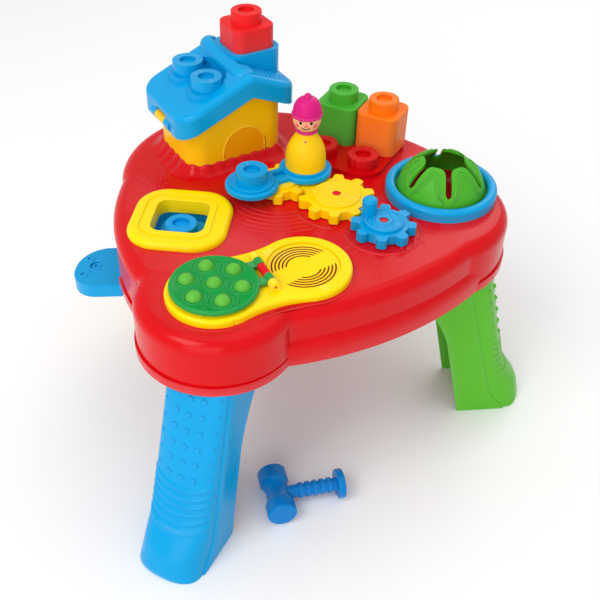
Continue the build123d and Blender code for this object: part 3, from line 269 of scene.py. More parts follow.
def add_cap(mesh, center, normal, radius, rise, rings=5, segments=16):
    """Spherical cap lying on a surface, its sizes in metres."""
    normal = normal.normalized()
    side = normal.orthogonal().normalized()
    other = normal.cross(side)
    turns = [tau * k / segments for k in range(segments)]
    sphere = (radius**2 + rise**2) / (2 * rise)
    reach = asin(min(1, radius / sphere))
    if rise > radius:
        reach = pi - reach
    top = mesh.verts.new(center + normal * rise)
    previous = [top] * segments
    for ring in range(1, rings + 1):
        angle = reach * ring / rings
        out, up = sphere * sin(angle), rise - sphere * (1 - cos(angle))
        current = [mesh.verts.new(center + normal * up + (side * cos(a) + other * sin(a)) * out) for a in turns]
        for k in range(segments):
            after = (k + 1) % segments
            corners = [previous[k], current[k], current[after], previous[after]]
            mesh.faces.new(list(dict.fromkeys(corners)))
        previous = current


def add_bead(mesh, points, radius, closed=False, sides=8, tall=1.0):
    """Round bead along a line of points, its section made taller or flatter by a share, its radius in metres."""
    count = len(points)
    turns = [tau * k / sides for k in range(sides)]
    loops = []
    for index, point in enumerate(points):
        before = points[(index - 1) % count] if closed or index else point
        after = points[(index + 1) % count] if closed or index < count - 1 else point
        along = (after - before).normalized()
        across = along.cross(UP)
        across = across.normalized() if across.length > UPRIGHT else along.orthogonal().normalized()
        over = across.cross(along)
        loops.append([mesh.verts.new(point + (across * cos(a) + over * tall * sin(a)) * radius) for a in turns])
    for index in range(count if closed else count - 1):
        first, second = loops[index], loops[(index + 1) % count]
        for k in range(sides):
            after = (k + 1) % sides
            mesh.faces.new((first[k], first[after], second[after], second[k]))
    if not closed:
        mesh.faces.new(loops[0][::-1])
        mesh.faces.new(loops[-1])


def add_ring(mesh, center, radius, bead, start=0.0, end=360.0, tall=1.0):
    """Level bead along a circle or an arc of it, its radii in metres."""
    whole = end - start >= 360
    count = max(RING_LEAST, int((end - start) / RING_STEP))
    steps = range(count if whole else count + 1)
    angles = [radians(start + (end - start) * k / count) for k in steps]
    points = [center + Vector((cos(a), sin(a), 0)) * radius for a in angles]
    add_bead(mesh, points, bead, closed=whole, tall=tall)


def add_lathe(mesh, center, profile, segments=72):
    """Turned body about an upright axis, from a profile of radii and heights."""
    turns = [Vector((cos(tau * k / segments), sin(tau * k / segments), 0)) for k in range(segments)]
    rows = []
    for radius, height in profile:
        if radius == 0:
            rows.append([mesh.verts.new(center + UP * height * MM)] * segments)
        else:
            rows.append([mesh.verts.new(center + (turn * radius + UP * height) * MM) for turn in turns])
    for low, high in zip(rows, rows[1:]):
        for k in range(segments):
            after = (k + 1) % segments
            corners = [low[k], low[after], high[after], high[k]]
            mesh.faces.new(list(dict.fromkeys(corners)))


def add_slab(mesh, corners, rise):
    """Upright prism over a level outline, its rise in metres."""
    low = [mesh.verts.new(corner) for corner in corners]
    high = [mesh.verts.new(corner + UP * rise) for corner in corners]
    mesh.faces.new(low[::-1])
    mesh.faces.new(high)
    for k in range(len(corners)):
        after = (k + 1) % len(corners)
        mesh.faces.new((low[k], low[after], high[after], high[k]))


def add_skin(mesh, rows):
    """Faces between each row of points and the next."""
    for first, second in zip(rows, rows[1:]):
        for k in range(len(first) - 1):
            mesh.faces.new((first[k], first[k + 1], second[k + 1], second[k]))


def relief(name, body, slot, build, finish=None):
    """Piece that rides on a body, built by a function that fills its mesh, in its slot's finish or another."""
    mesh = bmesh.new()
    build(mesh)
    bmesh.ops.recalc_face_normals(mesh, faces=mesh.faces)
    data = bpy.data.meshes.new(name)
    mesh.to_mesh(data)
    mesh.free()
    data.polygons.foreach_set("use_smooth", [True] * len(data.polygons))
    data.materials.append(finishes[finish or slot])
    piece = bpy.data.objects.new(name, data)
    bpy.context.scene.collection.objects.link(piece)
    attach(piece, body)
    return piece


# Legs: flat side plates with a proud edge, a rounded front with bumps and ribs, and a smooth toe.
# For each leg its bearing, its finish and how far its front falls back for each unit of height.
LEGS = {
    "front_leg": (242, "leg_blue", 0.335),
    "right_leg": (4.5, "leg_green", 0.24),
    "back_leg": (123.5, "leg_yellow", 0.3),
}
LEG_TOP_Z, LEG_WALL, LEG_LEVELS = 238, 3.0, 170
LEG_IN_FOOT, LEG_IN_FALL = 203, 0.23
LEG_OUT_FOOT = 270
LEG_HALF_FOOT, LEG_HALF_FALL = 38, 3 / 240
FLARE_Z, FLARE_RUN, FLARE_REACH = 100, 105, 45
CREASE_D, CREASE_Z, CREASE_FALL, CREASE_SWEEP, CREASE_POWER = 233.4, 40, 0.282, 26, 1.5
CREASE_STEP, CREASE_OUT_SHARE, CREASE_IN_SHARE = 2.2, 0.6, 0.25
FRONT_SQUARE, FRONT_STEPS, SIDE_STEPS = 2.4, 40, 4
TOE_REACH, TOE_LOW, TOE_HIGH = 17, 24, 64
TOE_ROUND, TOE_TUCK = 10, 3.5
RIB_TOP, RIB_PITCH, RIB_COUNT, RIB_RISE = 96, 9, 6, 2.2
RIB_SWING, RIB_FADE, RIB_POWER = 7, 0.35, 0.7
BUMP_HEIGHTS = (106, 123, 140, 157, 174, 191)
BUMP_SIDES = {-28: 2.5, -14: 3.3, 0: 3.3, 14: 3.3, 28: 2.5}
BUMP_RISE_SHARE, BUMP_SINK = 0.8, 0.3
SHARP_ANGLE = 50


def smooth(low, high, value):
    """Soft step from 0 to 1 between two values."""
    share = min(1, max(0, (value - low) / (high - low)))
    return share * share * (3 - 2 * share)


def leg_sizes(z, fall):
    """Inner edge, crease, outermost front and half width of a leg at a height."""
    flare = min(1, max(0, (z - FLARE_Z) / FLARE_RUN))
    inner = LEG_IN_FOOT - LEG_IN_FALL * min(z, FLARE_Z + FLARE_RUN) - FLARE_REACH * flare**2
    crease = CREASE_D - CREASE_FALL * (z - CREASE_Z)
    if z < CREASE_Z:
        crease = CREASE_D + CREASE_SWEEP * ((CREASE_Z - z) / CREASE_Z) ** CREASE_POWER
    toe = TOE_REACH * (1 - smooth(TOE_LOW, TOE_HIGH, z)) - TOE_TUCK * max(0, 1 - z / TOE_ROUND) ** 2
    return inner, crease, LEG_OUT_FOOT - fall * z + toe, LEG_HALF_FOOT - LEG_HALF_FALL * z


def rib_rise(z, across):
    """How far the ribs stand out of the front at a height, the ribs' ends curving upwards."""
    down = RIB_TOP + RIB_SWING * across**2 - z
    if down < 0 or down > RIB_COUNT * RIB_PITCH:
        return 0
    return RIB_RISE * max(0, sin(tau * down / RIB_PITCH)) ** RIB_POWER


def leg_section(z, fall, inset):
    """Points of a leg's section as distance out, distance aside: one inner edge, round the front, the other."""
    inner, crease, outer, half = leg_sizes(z, fall)
    half -= inset
    points = [(inner + (crease - inner) * k / SIDE_STEPS, half) for k in range(SIDE_STEPS + 1)]
    points.append((crease + CREASE_STEP * CREASE_OUT_SHARE, half - CREASE_STEP * CREASE_IN_SHARE))
    middle, reach, spread = crease + CREASE_STEP, outer - crease - CREASE_STEP - inset, half - CREASE_STEP
    for k in range(FRONT_STEPS + 1):
        turn = pi / 2 - pi * k / FRONT_STEPS
        across = sin(turn)
        out = max(0, cos(turn)) ** (2 / FRONT_SQUARE)
        aside = abs(across) ** (2 / FRONT_SQUARE) * (1 if across > 0 else -1)
        ribs = 0 if inset else rib_rise(z, aside) * smooth(0, RIB_FADE, cos(turn))
        points.append((middle + reach * out + ribs, spread * aside))
    points.append((crease + CREASE_STEP * CREASE_OUT_SHARE, -half + CREASE_STEP * CREASE_IN_SHARE))
    points += [(crease + (inner - crease) * k / SIDE_STEPS, -half) for k in range(SIDE_STEPS + 1)]
    return points


def leg_shell(mesh, bearing, fall):
    """A leg as a thin channel, with its bumps."""
    out = Vector((cos(radians(bearing)), sin(radians(bearing)), 0))
    aside = Vector((-out.y, out.x, 0))

    def place(d, t, z):
        return table_middle + (out * d + aside * t + UP * z) * MM

    heights = [LEG_TOP_Z * k / LEG_LEVELS for k in range(LEG_LEVELS + 1)]
    skins = []
    for inset in (0.0, LEG_WALL):
        skins.append([[mesh.verts.new(place(d, t, z)) for d, t in leg_section(z, fall, inset)] for z in heights])
    outer, inner = skins
    for skin in skins:
        add_skin(mesh, skin)
    for level in (0, -1):
        add_skin(mesh, [outer[level], inner[level]])
    for k in (0, -1):
        add_skin(mesh, [[row[k] for row in outer], [row[k] for row in inner]])
    for side, size in BUMP_SIDES.items():
        for height in BUMP_HEIGHTS:
            z = height + RIB_SWING * (side / LEG_HALF_FOOT) ** 2
            crease, front, half = leg_sizes(z, fall)[1:]
            middle, reach, spread = crease + CREASE_STEP, front - crease - CREASE_STEP, half - CREASE_STEP
            across = abs(side) / spread
            left = 1 - across**FRONT_SQUARE
            depth = middle + reach * left ** (1 / FRONT_SQUARE)
            steep = reach / spread * across ** (FRONT_SQUARE - 1) / left ** (1 - 1 / FRONT_SQUARE)
            normal = out + aside * steep * (1 if side > 0 else -1) + UP * fall
            foot = place(depth, side, z) - normal.normalized() * BUMP_SINK * MM
            add_cap(mesh, foot, normal, size * MM, size * BUMP_RISE_SHARE * MM)


for leg, (bearing, slot, fall) in LEGS.items():
    piece = relief(leg + "_form", "table", slot, partial(leg_shell, bearing=bearing, fall=fall))
    piece.data.set_sharp_from_angle(angle=radians(SHARP_ANGLE))
    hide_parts(leg)


# Tabletop: ripples, wells round the gears, rings, small bumps and a wavy mound round the house
RELIEF_SINK = 0.3
RIPPLE_RADIUS, RIPPLE_PITCH, RIPPLE_BEAD, RIPPLE_TALL = 47, 7, 1.3, 0.75
RIPPLE_STARTS, RIPPLE_END = (222, 222, 222, 238, 238, 238), 296
WELL_BEAD, WELL_TALL = 2.0, 0.7
# Middle, radius and arc of each well's edge
WELLS = ((CRANK, 40, 190, 446), (MIDDLE, 47, 6, 104), (MIDDLE, 47, 206, 262))
DROP, DROP_RADII, DROP_BEAD, DROP_TALL, DROP_SINK = (79.4, -79.6), (4, 8.5, 13), 1.0, 0.7, 0.2
# First bump, step along a row, step to the next row, bumps in each row, radius and rise
BUMP_FIELDS = (
    ((-166, 68), (9, 0), (3, 9), (4, 4, 3, 3), 2.0, 1.1),
    ((106, -58), (9, 8), (-5, 7), (4, 4), 1.8, 1.0),
)
DOT_RINGS, DOT_SEGMENTS = 3, 10
HOUSE_LEFT, HOUSE_RIGHT, HOUSE_HALF, HOUSE_CORNER = -61, 58, 46, 22
COLLAR_HEIGHT, COLLAR_WAVES, COLLAR_SWING, COLLAR_STEP = 12.4, 26, 1.0, 2.0
COLLAR_INSET, COLLAR_DRIFT = 0.6, 0.5
COLLAR_PROFILE = ((0, 0.55), (0, 0.9), (0.8, 1), (1.8, 0.97), (4, 0.72), (7, 0.42), (11, 0.18), (16, 0.04), (20, 0))


def rounded_box(x0, x1, y0, y1, corner, step):
    """Points and normals round a rectangle with round corners, anticlockwise from the middle of its near side."""
    points = []
    straights = [
        ((x0 + x1) / 2, y0, x1 - corner, y0),
        (x1, y0 + corner, x1, y1 - corner),
        (x1 - corner, y1, x0 + corner, y1),
        (x0, y1 - corner, x0, y0 + corner),
        (x0 + corner, y0, (x0 + x1) / 2, y0),
    ]
    corners = [
        (x1 - corner, y0 + corner, -90),
        (x1 - corner, y1 - corner, 0),
        (x0 + corner, y1 - corner, 90),
        (x0 + corner, y0 + corner, 180),
    ]
    for index, (ax, ay, bx, by) in enumerate(straights):
        length = sqrt((bx - ax) ** 2 + (by - ay) ** 2)
        count = int(length / step)
        normal = ((by - ay) / length, (ax - bx) / length)
        points += [(ax + (bx - ax) * k / count, ay + (by - ay) * k / count, *normal) for k in range(count)]
        if index < len(corners):
            cx, cy, first = corners[index]
            turns = int(corner * pi / 2 / step)
            for k in range(turns):
                a = radians(first + 90 * k / turns)
                points.append((cx + corner * cos(a), cy + corner * sin(a), cos(a), sin(a)))
    return points


def table_relief(mesh):
    """Everything moulded into the red top."""
    for number, start in enumerate(RIPPLE_STARTS):
        radius = (RIPPLE_RADIUS + RIPPLE_PITCH * number) * MM
        add_ring(mesh, spot(*CAROUSEL, -RELIEF_SINK), radius, RIPPLE_BEAD * MM, start, RIPPLE_END, RIPPLE_TALL)
    for middle, radius, start, end in WELLS:
        add_ring(mesh, spot(*middle, -RELIEF_SINK), radius * MM, WELL_BEAD * MM, start, end, WELL_TALL)
    for radius in DROP_RADII:
        add_ring(mesh, spot(*DROP, -DROP_SINK), radius * MM, DROP_BEAD * MM, tall=DROP_TALL)
    for (x, y), (along_x, along_y), (over_x, over_y), counts, radius, rise in BUMP_FIELDS:
        for row, count in enumerate(counts):
            for column in range(count):
                place = spot(x + along_x * column + over_x * row, y + along_y * column + over_y * row)
                add_cap(mesh, place, UP, radius * MM, rise * MM, DOT_RINGS, DOT_SEGMENTS)


def house_collar(mesh):
    """Mound that rises to the house's walls and meets them in a wavy edge."""
    outline = rounded_box(HOUSE_LEFT, HOUSE_RIGHT, -HOUSE_HALF, HOUSE_HALF, HOUSE_CORNER, COLLAR_STEP)
    rows = []
    for index, (x, y, nx, ny) in enumerate(outline):
        wave = COLLAR_SWING * sin(tau * COLLAR_WAVES * index / len(outline))
        row = []
        for out, share in COLLAR_PROFILE:
            away = out - COLLAR_INSET + COLLAR_DRIFT * wave * (1 - share)
            height = (COLLAR_HEIGHT + wave) * share - RELIEF_SINK
            row.append(mesh.verts.new(on_house(x + nx * away, y + ny * away, height)))
        rows.append(row)
    add_skin(mesh, rows + rows[:1])


relief("table_relief", "table", "table_red", table_relief)
relief("house_collar", "table", "table_red", house_collar)


# Door: a wide arch on the front wall, painted a deeper orange as the shade of a recess, inside a thin moulded frame
DOOR_X, DOOR_RADIUS, DOOR_SPRING, DOOR_STEPS = 5, 25, 21, 24
PANEL_OUT, FRAME_GAP, FRAME_BEAD = 0.15, 0.8, 1.1


def door_arch(radius, out):
    """Points of the door's outline at a distance in front of the wall, from foot to foot."""
    turns = [pi * k / DOOR_STEPS for k in range(DOOR_STEPS + 1)]
    points = [(DOOR_X + radius * cos(a), DOOR_SPRING + radius * sin(a)) for a in turns]
    points = [(DOOR_X + radius, 0)] + points + [(DOOR_X - radius, 0)]
    return [on_house(x, -HOUSE_HALF - out, z) for x, z in points]


def door_panel(mesh):
    """Flat arch that covers the recess, painted darker as the recess's shade."""
    mesh.faces.new([mesh.verts.new(point) for point in door_arch(DOOR_RADIUS, PANEL_OUT)])


def door_frame(mesh):
    """Bead round the arch."""
    add_bead(mesh, door_arch(DOOR_RADIUS + FRAME_GAP, 0), FRAME_BEAD * MM)


relief("door_panel", "table", "house_yellow", door_panel, "door_painted_shade")
relief("door_frame", "table", "house_yellow", door_frame)


# Bubble lid: a disc with paler bubbles, two wavy lines, arms to its hinge; red hinge barrel on the plate
LID_TOP, LID_LOW, LID_RADIUS = 14.3, 10.3, 43
LID_PROFILE = (
    (0, LID_TOP),
    (38.6, LID_TOP),
    (39.4, 14.9),
    (40.8, 15.1),
    (42.2, 14.6),
    (LID_RADIUS, 13.4),
    (LID_RADIUS, 11),
    (42.4, LID_LOW),
    (0, LID_LOW),
)
BUBBLE_RADIUS, BUBBLE_RISE, BUBBLE_RINGS, BUBBLE_SEGMENTS = 7.8, 6.2, 8, 28
BUBBLE_RING, BUBBLE_TURN, BUBBLE_STEP, BUBBLE_COUNT = 27, -34.5, 60, 6
HALO_GAP, HALO_BEAD, HALO_TALL, HALO_SINK = 2.6, 1.2, 0.7, 0.2
WAVE_STEPS, WAVE_SWING, WAVE_MARGIN, WAVE_LIFT, WAVE_BEAD = 48, 3.2, 4, 0.1, 1.0
HINGE_OFFSET, HINGE_Z = 51, 12.8
LID_ARM_IN, LID_ARM_OUT, LID_ARM_START, LID_ARM_RISE = 8.5, 17.5, 36, 3.4
KNUCKLE_RADIUS, KNUCKLE_SIDES, KNUCKLE_STEPS = 4.5, 24, 2
BARREL_HALF, BARREL_RADIUS, BARREL_SIDES, BARREL_STEPS = 8, 4.3, 20, 8


def bubble_places():
    """Middles of the lid's seven bubbles."""
    turns = [radians(BUBBLE_TURN + BUBBLE_STEP * k) for k in range(BUBBLE_COUNT)]
    return [(0, 0)] + [(BUBBLE_RING * cos(a), BUBBLE_RING * sin(a)) for a in turns]


def bubbles(mesh):
    """Caps over the lid."""
    for x, y in bubble_places():
        place = on_pad(x, y, LID_TOP)
        add_cap(mesh, place, UP, BUBBLE_RADIUS * MM, BUBBLE_RISE * MM, BUBBLE_RINGS, BUBBLE_SEGMENTS)


def lid_form(mesh):
    """Disc with a raised rim, rings round the bubbles, wavy dividing lines, arms and knuckles."""
    add_lathe(mesh, on_pad(0, 0), LID_PROFILE)
    for x, y in bubble_places():
        place = on_pad(x, y, LID_TOP - HALO_SINK)
        add_ring(mesh, place, (BUBBLE_RADIUS + HALO_GAP) * MM, HALO_BEAD * MM, tall=HALO_TALL)
    run = radians(BUBBLE_TURN + 2 * BUBBLE_STEP)
    along, across = (cos(run), sin(run)), (sin(run), -cos(run))
    for side in (-1, 1):
        offset = side * BUBBLE_RING * sin(radians(BUBBLE_STEP)) / 2
        half = sqrt(LID_RADIUS**2 - offset**2) - WAVE_MARGIN
        points = []
        for k in range(WAVE_STEPS + 1):
            s = half * (2 * k / WAVE_STEPS - 1)
            o = offset + WAVE_SWING * sin(tau * s / BUBBLE_RING + side * pi / 2)
            points.append(on_pad(along[0] * s + across[0] * o, along[1] * s + across[1] * o, LID_TOP + WAVE_LIFT))
        add_bead(mesh, points, WAVE_BEAD * MM)
    for side in (-1, 1):
        near, far = side * LID_ARM_IN, side * LID_ARM_OUT
        corners = [(LID_ARM_START, near), (HINGE_OFFSET, near), (HINGE_OFFSET, far), (LID_ARM_START, far)]
        add_slab(mesh, [on_pad(x, y, LID_LOW) for x, y in corners], LID_ARM_RISE * MM)
        steps = range(KNUCKLE_STEPS + 1)
        axis = [on_pad(HINGE_OFFSET, near + (far - near) * k / KNUCKLE_STEPS, HINGE_Z) for k in steps]
        add_bead(mesh, axis, KNUCKLE_RADIUS * MM, sides=KNUCKLE_SIDES)


def hinge_barrel(mesh):
    """Red barrel between the lid's two arms."""
    asides = [-BARREL_HALF + 2 * BARREL_HALF * k / BARREL_STEPS for k in range(BARREL_STEPS + 1)]
    add_bead(mesh, [on_pad(HINGE_OFFSET, y, HINGE_Z) for y in asides], BARREL_RADIUS * MM, sides=BARREL_SIDES)


lid = relief("bubble_lid_form", "lid", "lid_green", lid_form)
lid.data.set_sharp_from_angle(angle=radians(SHARP_ANGLE))
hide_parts("bubble_lid")
relief("lid_bubbles", "lid", "lid_green", bubbles, "bubble_green")
relief("lid_hinge_barrel", "table", "pin_red", hinge_barrel)


# Speaker: slots in arcs, drawn as strips painted dark as their shade, on both sides of a plain slanting band, a
# step round the disc and the pad's waist
SPEAKER_Z = 5
SLOT_RADII, SLOT_WIDTH, SLOT_LIFT, SLOT_STEPS, SLOT_END_SHARE = (17, 20.6, 24.2, 27.8, 31.4), 1.7, 0.12, 24, 0.35
BAND_TURN, BAND_ABOVE, BAND_BELOW = 34, 8.5, 12.5
STEP_RADIUS, STEP_BEAD, STEP_TALL = 34.6, 1.3, 0.8
PAD_RADIUS, PAD_HEIGHT, PAD_ROUND = 47.5, 7.95, 3.5
PAD_ROUND_TURNS = (30, 60, 90)
WAIST_RADIUS, WAIST_NEAR, WAIST_HALF_STEPS, SPEAKER_KEEP = 110, 20, 12, 37.5
PAD_LINE, PAD_LINE_STEP, PAD_LINE_BEAD = 51.5, 4, 0.9

pad_span = sqrt((SPEAKER[0] - BUTTON[0]) ** 2 + (SPEAKER[1] - BUTTON[1]) ** 2)
waist_lift = sqrt((PAD_RADIUS + WAIST_RADIUS) ** 2 - pad_span**2 / 4)


def speaker_slots(mesh):
    """Flat strips just above the disc, painted dark as the shade inside the slots."""
    for radius in SLOT_RADII:
        above, below = degrees(asin(BAND_ABOVE / radius)), degrees(asin(BAND_BELOW / radius))
        for first, last in (
            (BAND_TURN + above, BAND_TURN + 180 - above),
            (BAND_TURN + 180 + below, BAND_TURN + 360 - below),
        ):
            rows = []
            for k in range(SLOT_STEPS + 1):
                a = radians(first + (last - first) * k / SLOT_STEPS)
                edge = SLOT_WIDTH / 2 * (SLOT_END_SHARE if k in (0, SLOT_STEPS) else 1)
                ends = [(r * cos(a), r * sin(a)) for r in (radius - edge, radius + edge)]
                rows.append(
                    [mesh.verts.new(spot(SPEAKER[0] + x, SPEAKER[1] + y, SPEAKER_Z + SLOT_LIFT)) for x, y in ends]
                )
            add_skin(mesh, rows)


def speaker_step(mesh):
    """Low step between the disc and the pad's round rim, and the flanks that smooth the pad's waist."""
    add_ring(mesh, spot(*SPEAKER, SPEAKER_Z), STEP_RADIUS * MM, STEP_BEAD * MM, tall=STEP_TALL)
    reach = pad_span / 2 * WAIST_RADIUS / (PAD_RADIUS + WAIST_RADIUS)
    for side in (-1, 1):
        rows = []
        for k in range(2 * WAIST_HALF_STEPS + 1):
            s = reach * (k / WAIST_HALF_STEPS - 1)
            x = pad_span / 2 + s
            edge = waist_lift - sqrt(WAIST_RADIUS**2 - s * s)
            disc = SPEAKER_KEEP**2 - (pad_span - x) ** 2
            near = max(WAIST_NEAR, sqrt(disc) if disc > 0 else 0)
            section = [(near, PAD_HEIGHT), (edge - PAD_ROUND, PAD_HEIGHT)]
            for a in map(radians, PAD_ROUND_TURNS):
                section.append((edge - PAD_ROUND * (1 - sin(a)), PAD_HEIGHT - PAD_ROUND * (1 - cos(a))))
            section.append((edge, 0))
            rows.append([mesh.verts.new(on_pad(x, side * y, z)) for y, z in section])
        add_skin(mesh, rows)


def pad_line(mesh):
    """Thin raised line on the red top, all round the pad."""
    tangent = degrees(atan2(waist_lift, pad_span / 2))
    sweep = 90 - tangent
    waist = PAD_LINE - PAD_RADIUS - WAIST_RADIUS
    waist_turns = (-sweep / 2, 0, sweep / 2)
    # Radius and angle of each point about a middle on the pad
    line = [(PAD_LINE, a, 0, 0) for a in range(int(tangent), int(361 - tangent), PAD_LINE_STEP)]
    line += [(waist, 270 + a, pad_span / 2, -waist_lift) for a in waist_turns]
    line += [(PAD_LINE, a, pad_span, 0) for a in range(int(180 + tangent), int(541 - tangent), PAD_LINE_STEP)]
    line += [(waist, 90 + a, pad_span / 2, waist_lift) for a in waist_turns]
    points = [on_pad(x + r * cos(radians(a)), y + r * sin(radians(a))) for r, a, x, y in line]
    add_bead(mesh, points, PAD_LINE_BEAD * MM, closed=True)


relief("pad_line", "table", "table_red", pad_line)
relief("speaker_slots", "table", "pad_yellow", speaker_slots, "slot_painted_shade")
relief("speaker_step", "table", "pad_yellow", speaker_step)


# Gears: a lower hub on the large yellow one, raised rings on two hubs and dots on the blue one
GEAR_HUB_Z = 13.6
HUB_COLLAR = ((4.6, 0.1), (4.6, 0.9), (8.6, 0.9), (9, 0.5), (9, 0.1))
GEAR_BEAD, GEAR_BEAD_SINK = 1.4, 0.2
MIDDLE_DROP, MIDDLE_RADII, MIDDLE_TALL = 1.0, (12.5, 18, 23.6), 0.6
CRANK_RADII, CRANK_TALL = (10.5, 18.4), 0.9
CRANK_DOTS, CRANK_DOT_PLACE, CRANK_DOT_RADIUS, CRANK_DOT_RISE = 6, 14.5, 1.6, 0.8
HUB_SLACK = 0.1


def middle_form(mesh):
    """The large yellow gear with its hub a little lower, so that the rings stay under the carousel's arm."""
    gear = nodes["middle_gear"]
    mesh.from_mesh(gear.data)
    mesh.transform(gear.matrix_world)
    for vertex in mesh.verts:
        if vertex.co.z > spot(*MIDDLE, GEAR_HUB_Z - HUB_SLACK).z:
            vertex.co.z -= MIDDLE_DROP * MM


def gear_rings(mesh, middle, hub_z, radii, tall):
    """Collar and rings on a gear's hub."""
    add_lathe(mesh, spot(*middle, hub_z), HUB_COLLAR)
    for radius in radii:
        add_ring(mesh, spot(*middle, hub_z - GEAR_BEAD_SINK), radius * MM, GEAR_BEAD * MM, tall=tall)


def middle_rings(mesh):
    """Rings on the large yellow gear."""
    gear_rings(mesh, MIDDLE, GEAR_HUB_Z - MIDDLE_DROP, MIDDLE_RADII, MIDDLE_TALL)


def crank_rings(mesh):
    """Rings and dots on the blue gear."""
    gear_rings(mesh, CRANK, GEAR_HUB_Z, CRANK_RADII, CRANK_TALL)
    for k in range(CRANK_DOTS):
        a = tau * k / CRANK_DOTS
        place = spot(CRANK[0] + CRANK_DOT_PLACE * cos(a), CRANK[1] + CRANK_DOT_PLACE * sin(a), GEAR_HUB_Z)
        add_cap(mesh, place, UP, CRANK_DOT_RADIUS * MM, CRANK_DOT_RISE * MM, DOT_RINGS, DOT_SEGMENTS)


middle = relief("middle_gear_form", "middle_wheel", "gear_yellow", middle_form)
middle.data.set_sharp_from_angle(angle=radians(EDGE_ANGLE))
round_edges(middle, EDGE_WIDTHS["middle_gear"])
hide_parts("middle_gear")
relief("middle_gear_rings", "middle_wheel", "gear_yellow", middle_rings)
relief("crank_gear_rings", "crank", "gear_blue", crank_rings)


# Roof: vent ribs on the right slope in front of the chimney, and a rounded ridge
ROOF_RIDGE, ROOF_PEAK, ROOF_RIGHT, ROOF_RIGHT_EAVE = 12, 110, 70, 85
VENT_COUNT, VENT_START, VENT_PITCH, VENT_STEPS = 9, 22, 4.6, 6
VENT_FRONT, VENT_LENGTH, VENT_LEAN = -46, 15, 4
VENT_BEAD, VENT_TALL = 1.2, 0.9
HOOD_X, HOOD_Z, HOOD_HALF, HOOD_RISE, HOOD_TILT = 11, 104, 13, 8, 6
HOOD_FRONT, HOOD_BACK, HOOD_BLUNT, HOOD_LEAST = -46, 55, 5, 0.02
HOOD_HALF_STEPS, HOOD_SIDES = 16, 12
SOCKET_FRONT, SOCKET_BACK, SOCKET_WALL = -28, 40, 10


def roof_relief(mesh):
    """Slanting vents."""
    slope = (ROOF_PEAK - ROOF_RIGHT_EAVE) / (ROOF_RIGHT - ROOF_RIDGE)
    for k in range(VENT_COUNT):
        points = []
        for j in range(VENT_STEPS + 1):
            x = VENT_START + VENT_PITCH * k + VENT_LEAN * j / VENT_STEPS
            z = ROOF_PEAK - (x - ROOF_RIDGE) * slope
            points.append(on_house(x, VENT_FRONT + VENT_LENGTH * j / VENT_STEPS, z))
        add_bead(mesh, points, VENT_BEAD * MM, tall=VENT_TALL)


def roof_hood(mesh):
    """Rounded ridge beside the studs, rising towards the back and kept out of the chimney's socket."""
    rows = []
    for k in range(2 * HOOD_HALF_STEPS + 1):
        s = k / HOOD_HALF_STEPS - 1
        full = max(HOOD_LEAST, 1 - abs(s) ** HOOD_BLUNT) ** (1 / HOOD_BLUNT)
        y = HOOD_FRONT + (HOOD_BACK - HOOD_FRONT) * k / (2 * HOOD_HALF_STEPS)
        row = []
        for j in range(HOOD_SIDES + 1):
            a = pi * j / HOOD_SIDES
            x = HOOD_X + HOOD_HALF * full * cos(a)
            if SOCKET_FRONT < y < SOCKET_BACK:
                x = min(x, SOCKET_WALL)
            z = HOOD_Z + (HOOD_RISE + HOOD_TILT * (s + 1) / 2) * full * sin(a)
            row.append(mesh.verts.new(on_house(x, y, z)))
        rows.append(row)
    add_skin(mesh, rows)


relief("roof_relief", "roof", "roof_blue", roof_relief)
relief("roof_hood", "roof", "roof_blue", roof_hood)


# Petal dome: nested leaf lines on each petal
DOME_RADIUS, DOME_RISE, DOME_FOOT = 48, 42, 4
PETAL_TIP, PETAL_FOOT, PETAL_COUNT = 21, 42, 6
LEAF_INSETS, LEAF_TIP_SHARE, LEAF_HALF, LEAF_TAPER = (3.2, 6.0, 8.8), 1.25, 8.5, 0.62
LEAF_STEPS, LEAF_SPACING, LEAF_BEAD, LEAF_LIFT = 12, 2, 0.9, 0.15


def on_dome(x, y):
    """Point on the dome over a place measured from its middle."""
    sphere = (DOME_RADIUS**2 + DOME_RISE**2) / (2 * DOME_RISE)
    height = DOME_FOOT + DOME_RISE - sphere + sqrt(max(0, sphere**2 - x * x - y * y))
    return spot(DOME[0] + x, DOME[1] + y, height + LEAF_LIFT)


def leaf_line(inset):
    """Points of a tongue-shaped line on a petal that points along X, close enough together to follow the dome."""
    tip = PETAL_TIP + inset * LEAF_TIP_SHARE
    half_tip = LEAF_HALF - inset * LEAF_TAPER
    half_foot = PETAL_FOOT / 2 - inset
    turns = [pi * k / LEAF_STEPS for k in range(LEAF_STEPS + 1)]
    line = [(PETAL_FOOT, -half_foot)]
    line += [(tip + half_tip - half_tip * sin(a), -half_tip * cos(a)) for a in turns]
    line.append((PETAL_FOOT, half_foot))
    dense = []
    for (ax, ay), (bx, by) in zip(line, line[1:]):
        parts = max(1, int(sqrt((bx - ax) ** 2 + (by - ay) ** 2) / LEAF_SPACING))
        dense += [(ax + (bx - ax) * k / parts, ay + (by - ay) * k / parts) for k in range(parts)]
    return dense + [line[-1]]


def leaf_lines(mesh):
    """Three lines on every petal."""
    for petal in range(PETAL_COUNT):
        c, s = cos(tau * petal / PETAL_COUNT), sin(tau * petal / PETAL_COUNT)
        for inset in LEAF_INSETS:
            points = [on_dome(x * c - y * s, x * s + y * c) for x, y in leaf_line(inset)]
            add_bead(mesh, points, LEAF_BEAD * MM)


relief("petal_lines", "table", "petal_green", leaf_lines)


# Chute tongue: plain rings moulded on the ramp, each with its place out and aside and its radius
TONGUE_RINGS = ((98, 0, 9), (98, 0, 4), (110, 14, 4), (110, -14, 4))
TONGUE_BEAD, TONGUE_LIFT = 1.1, 0.2
RAMP_Z, RAMP_START, RAMP_FALL, RAMP_RUN = -60, 30, 13, 90


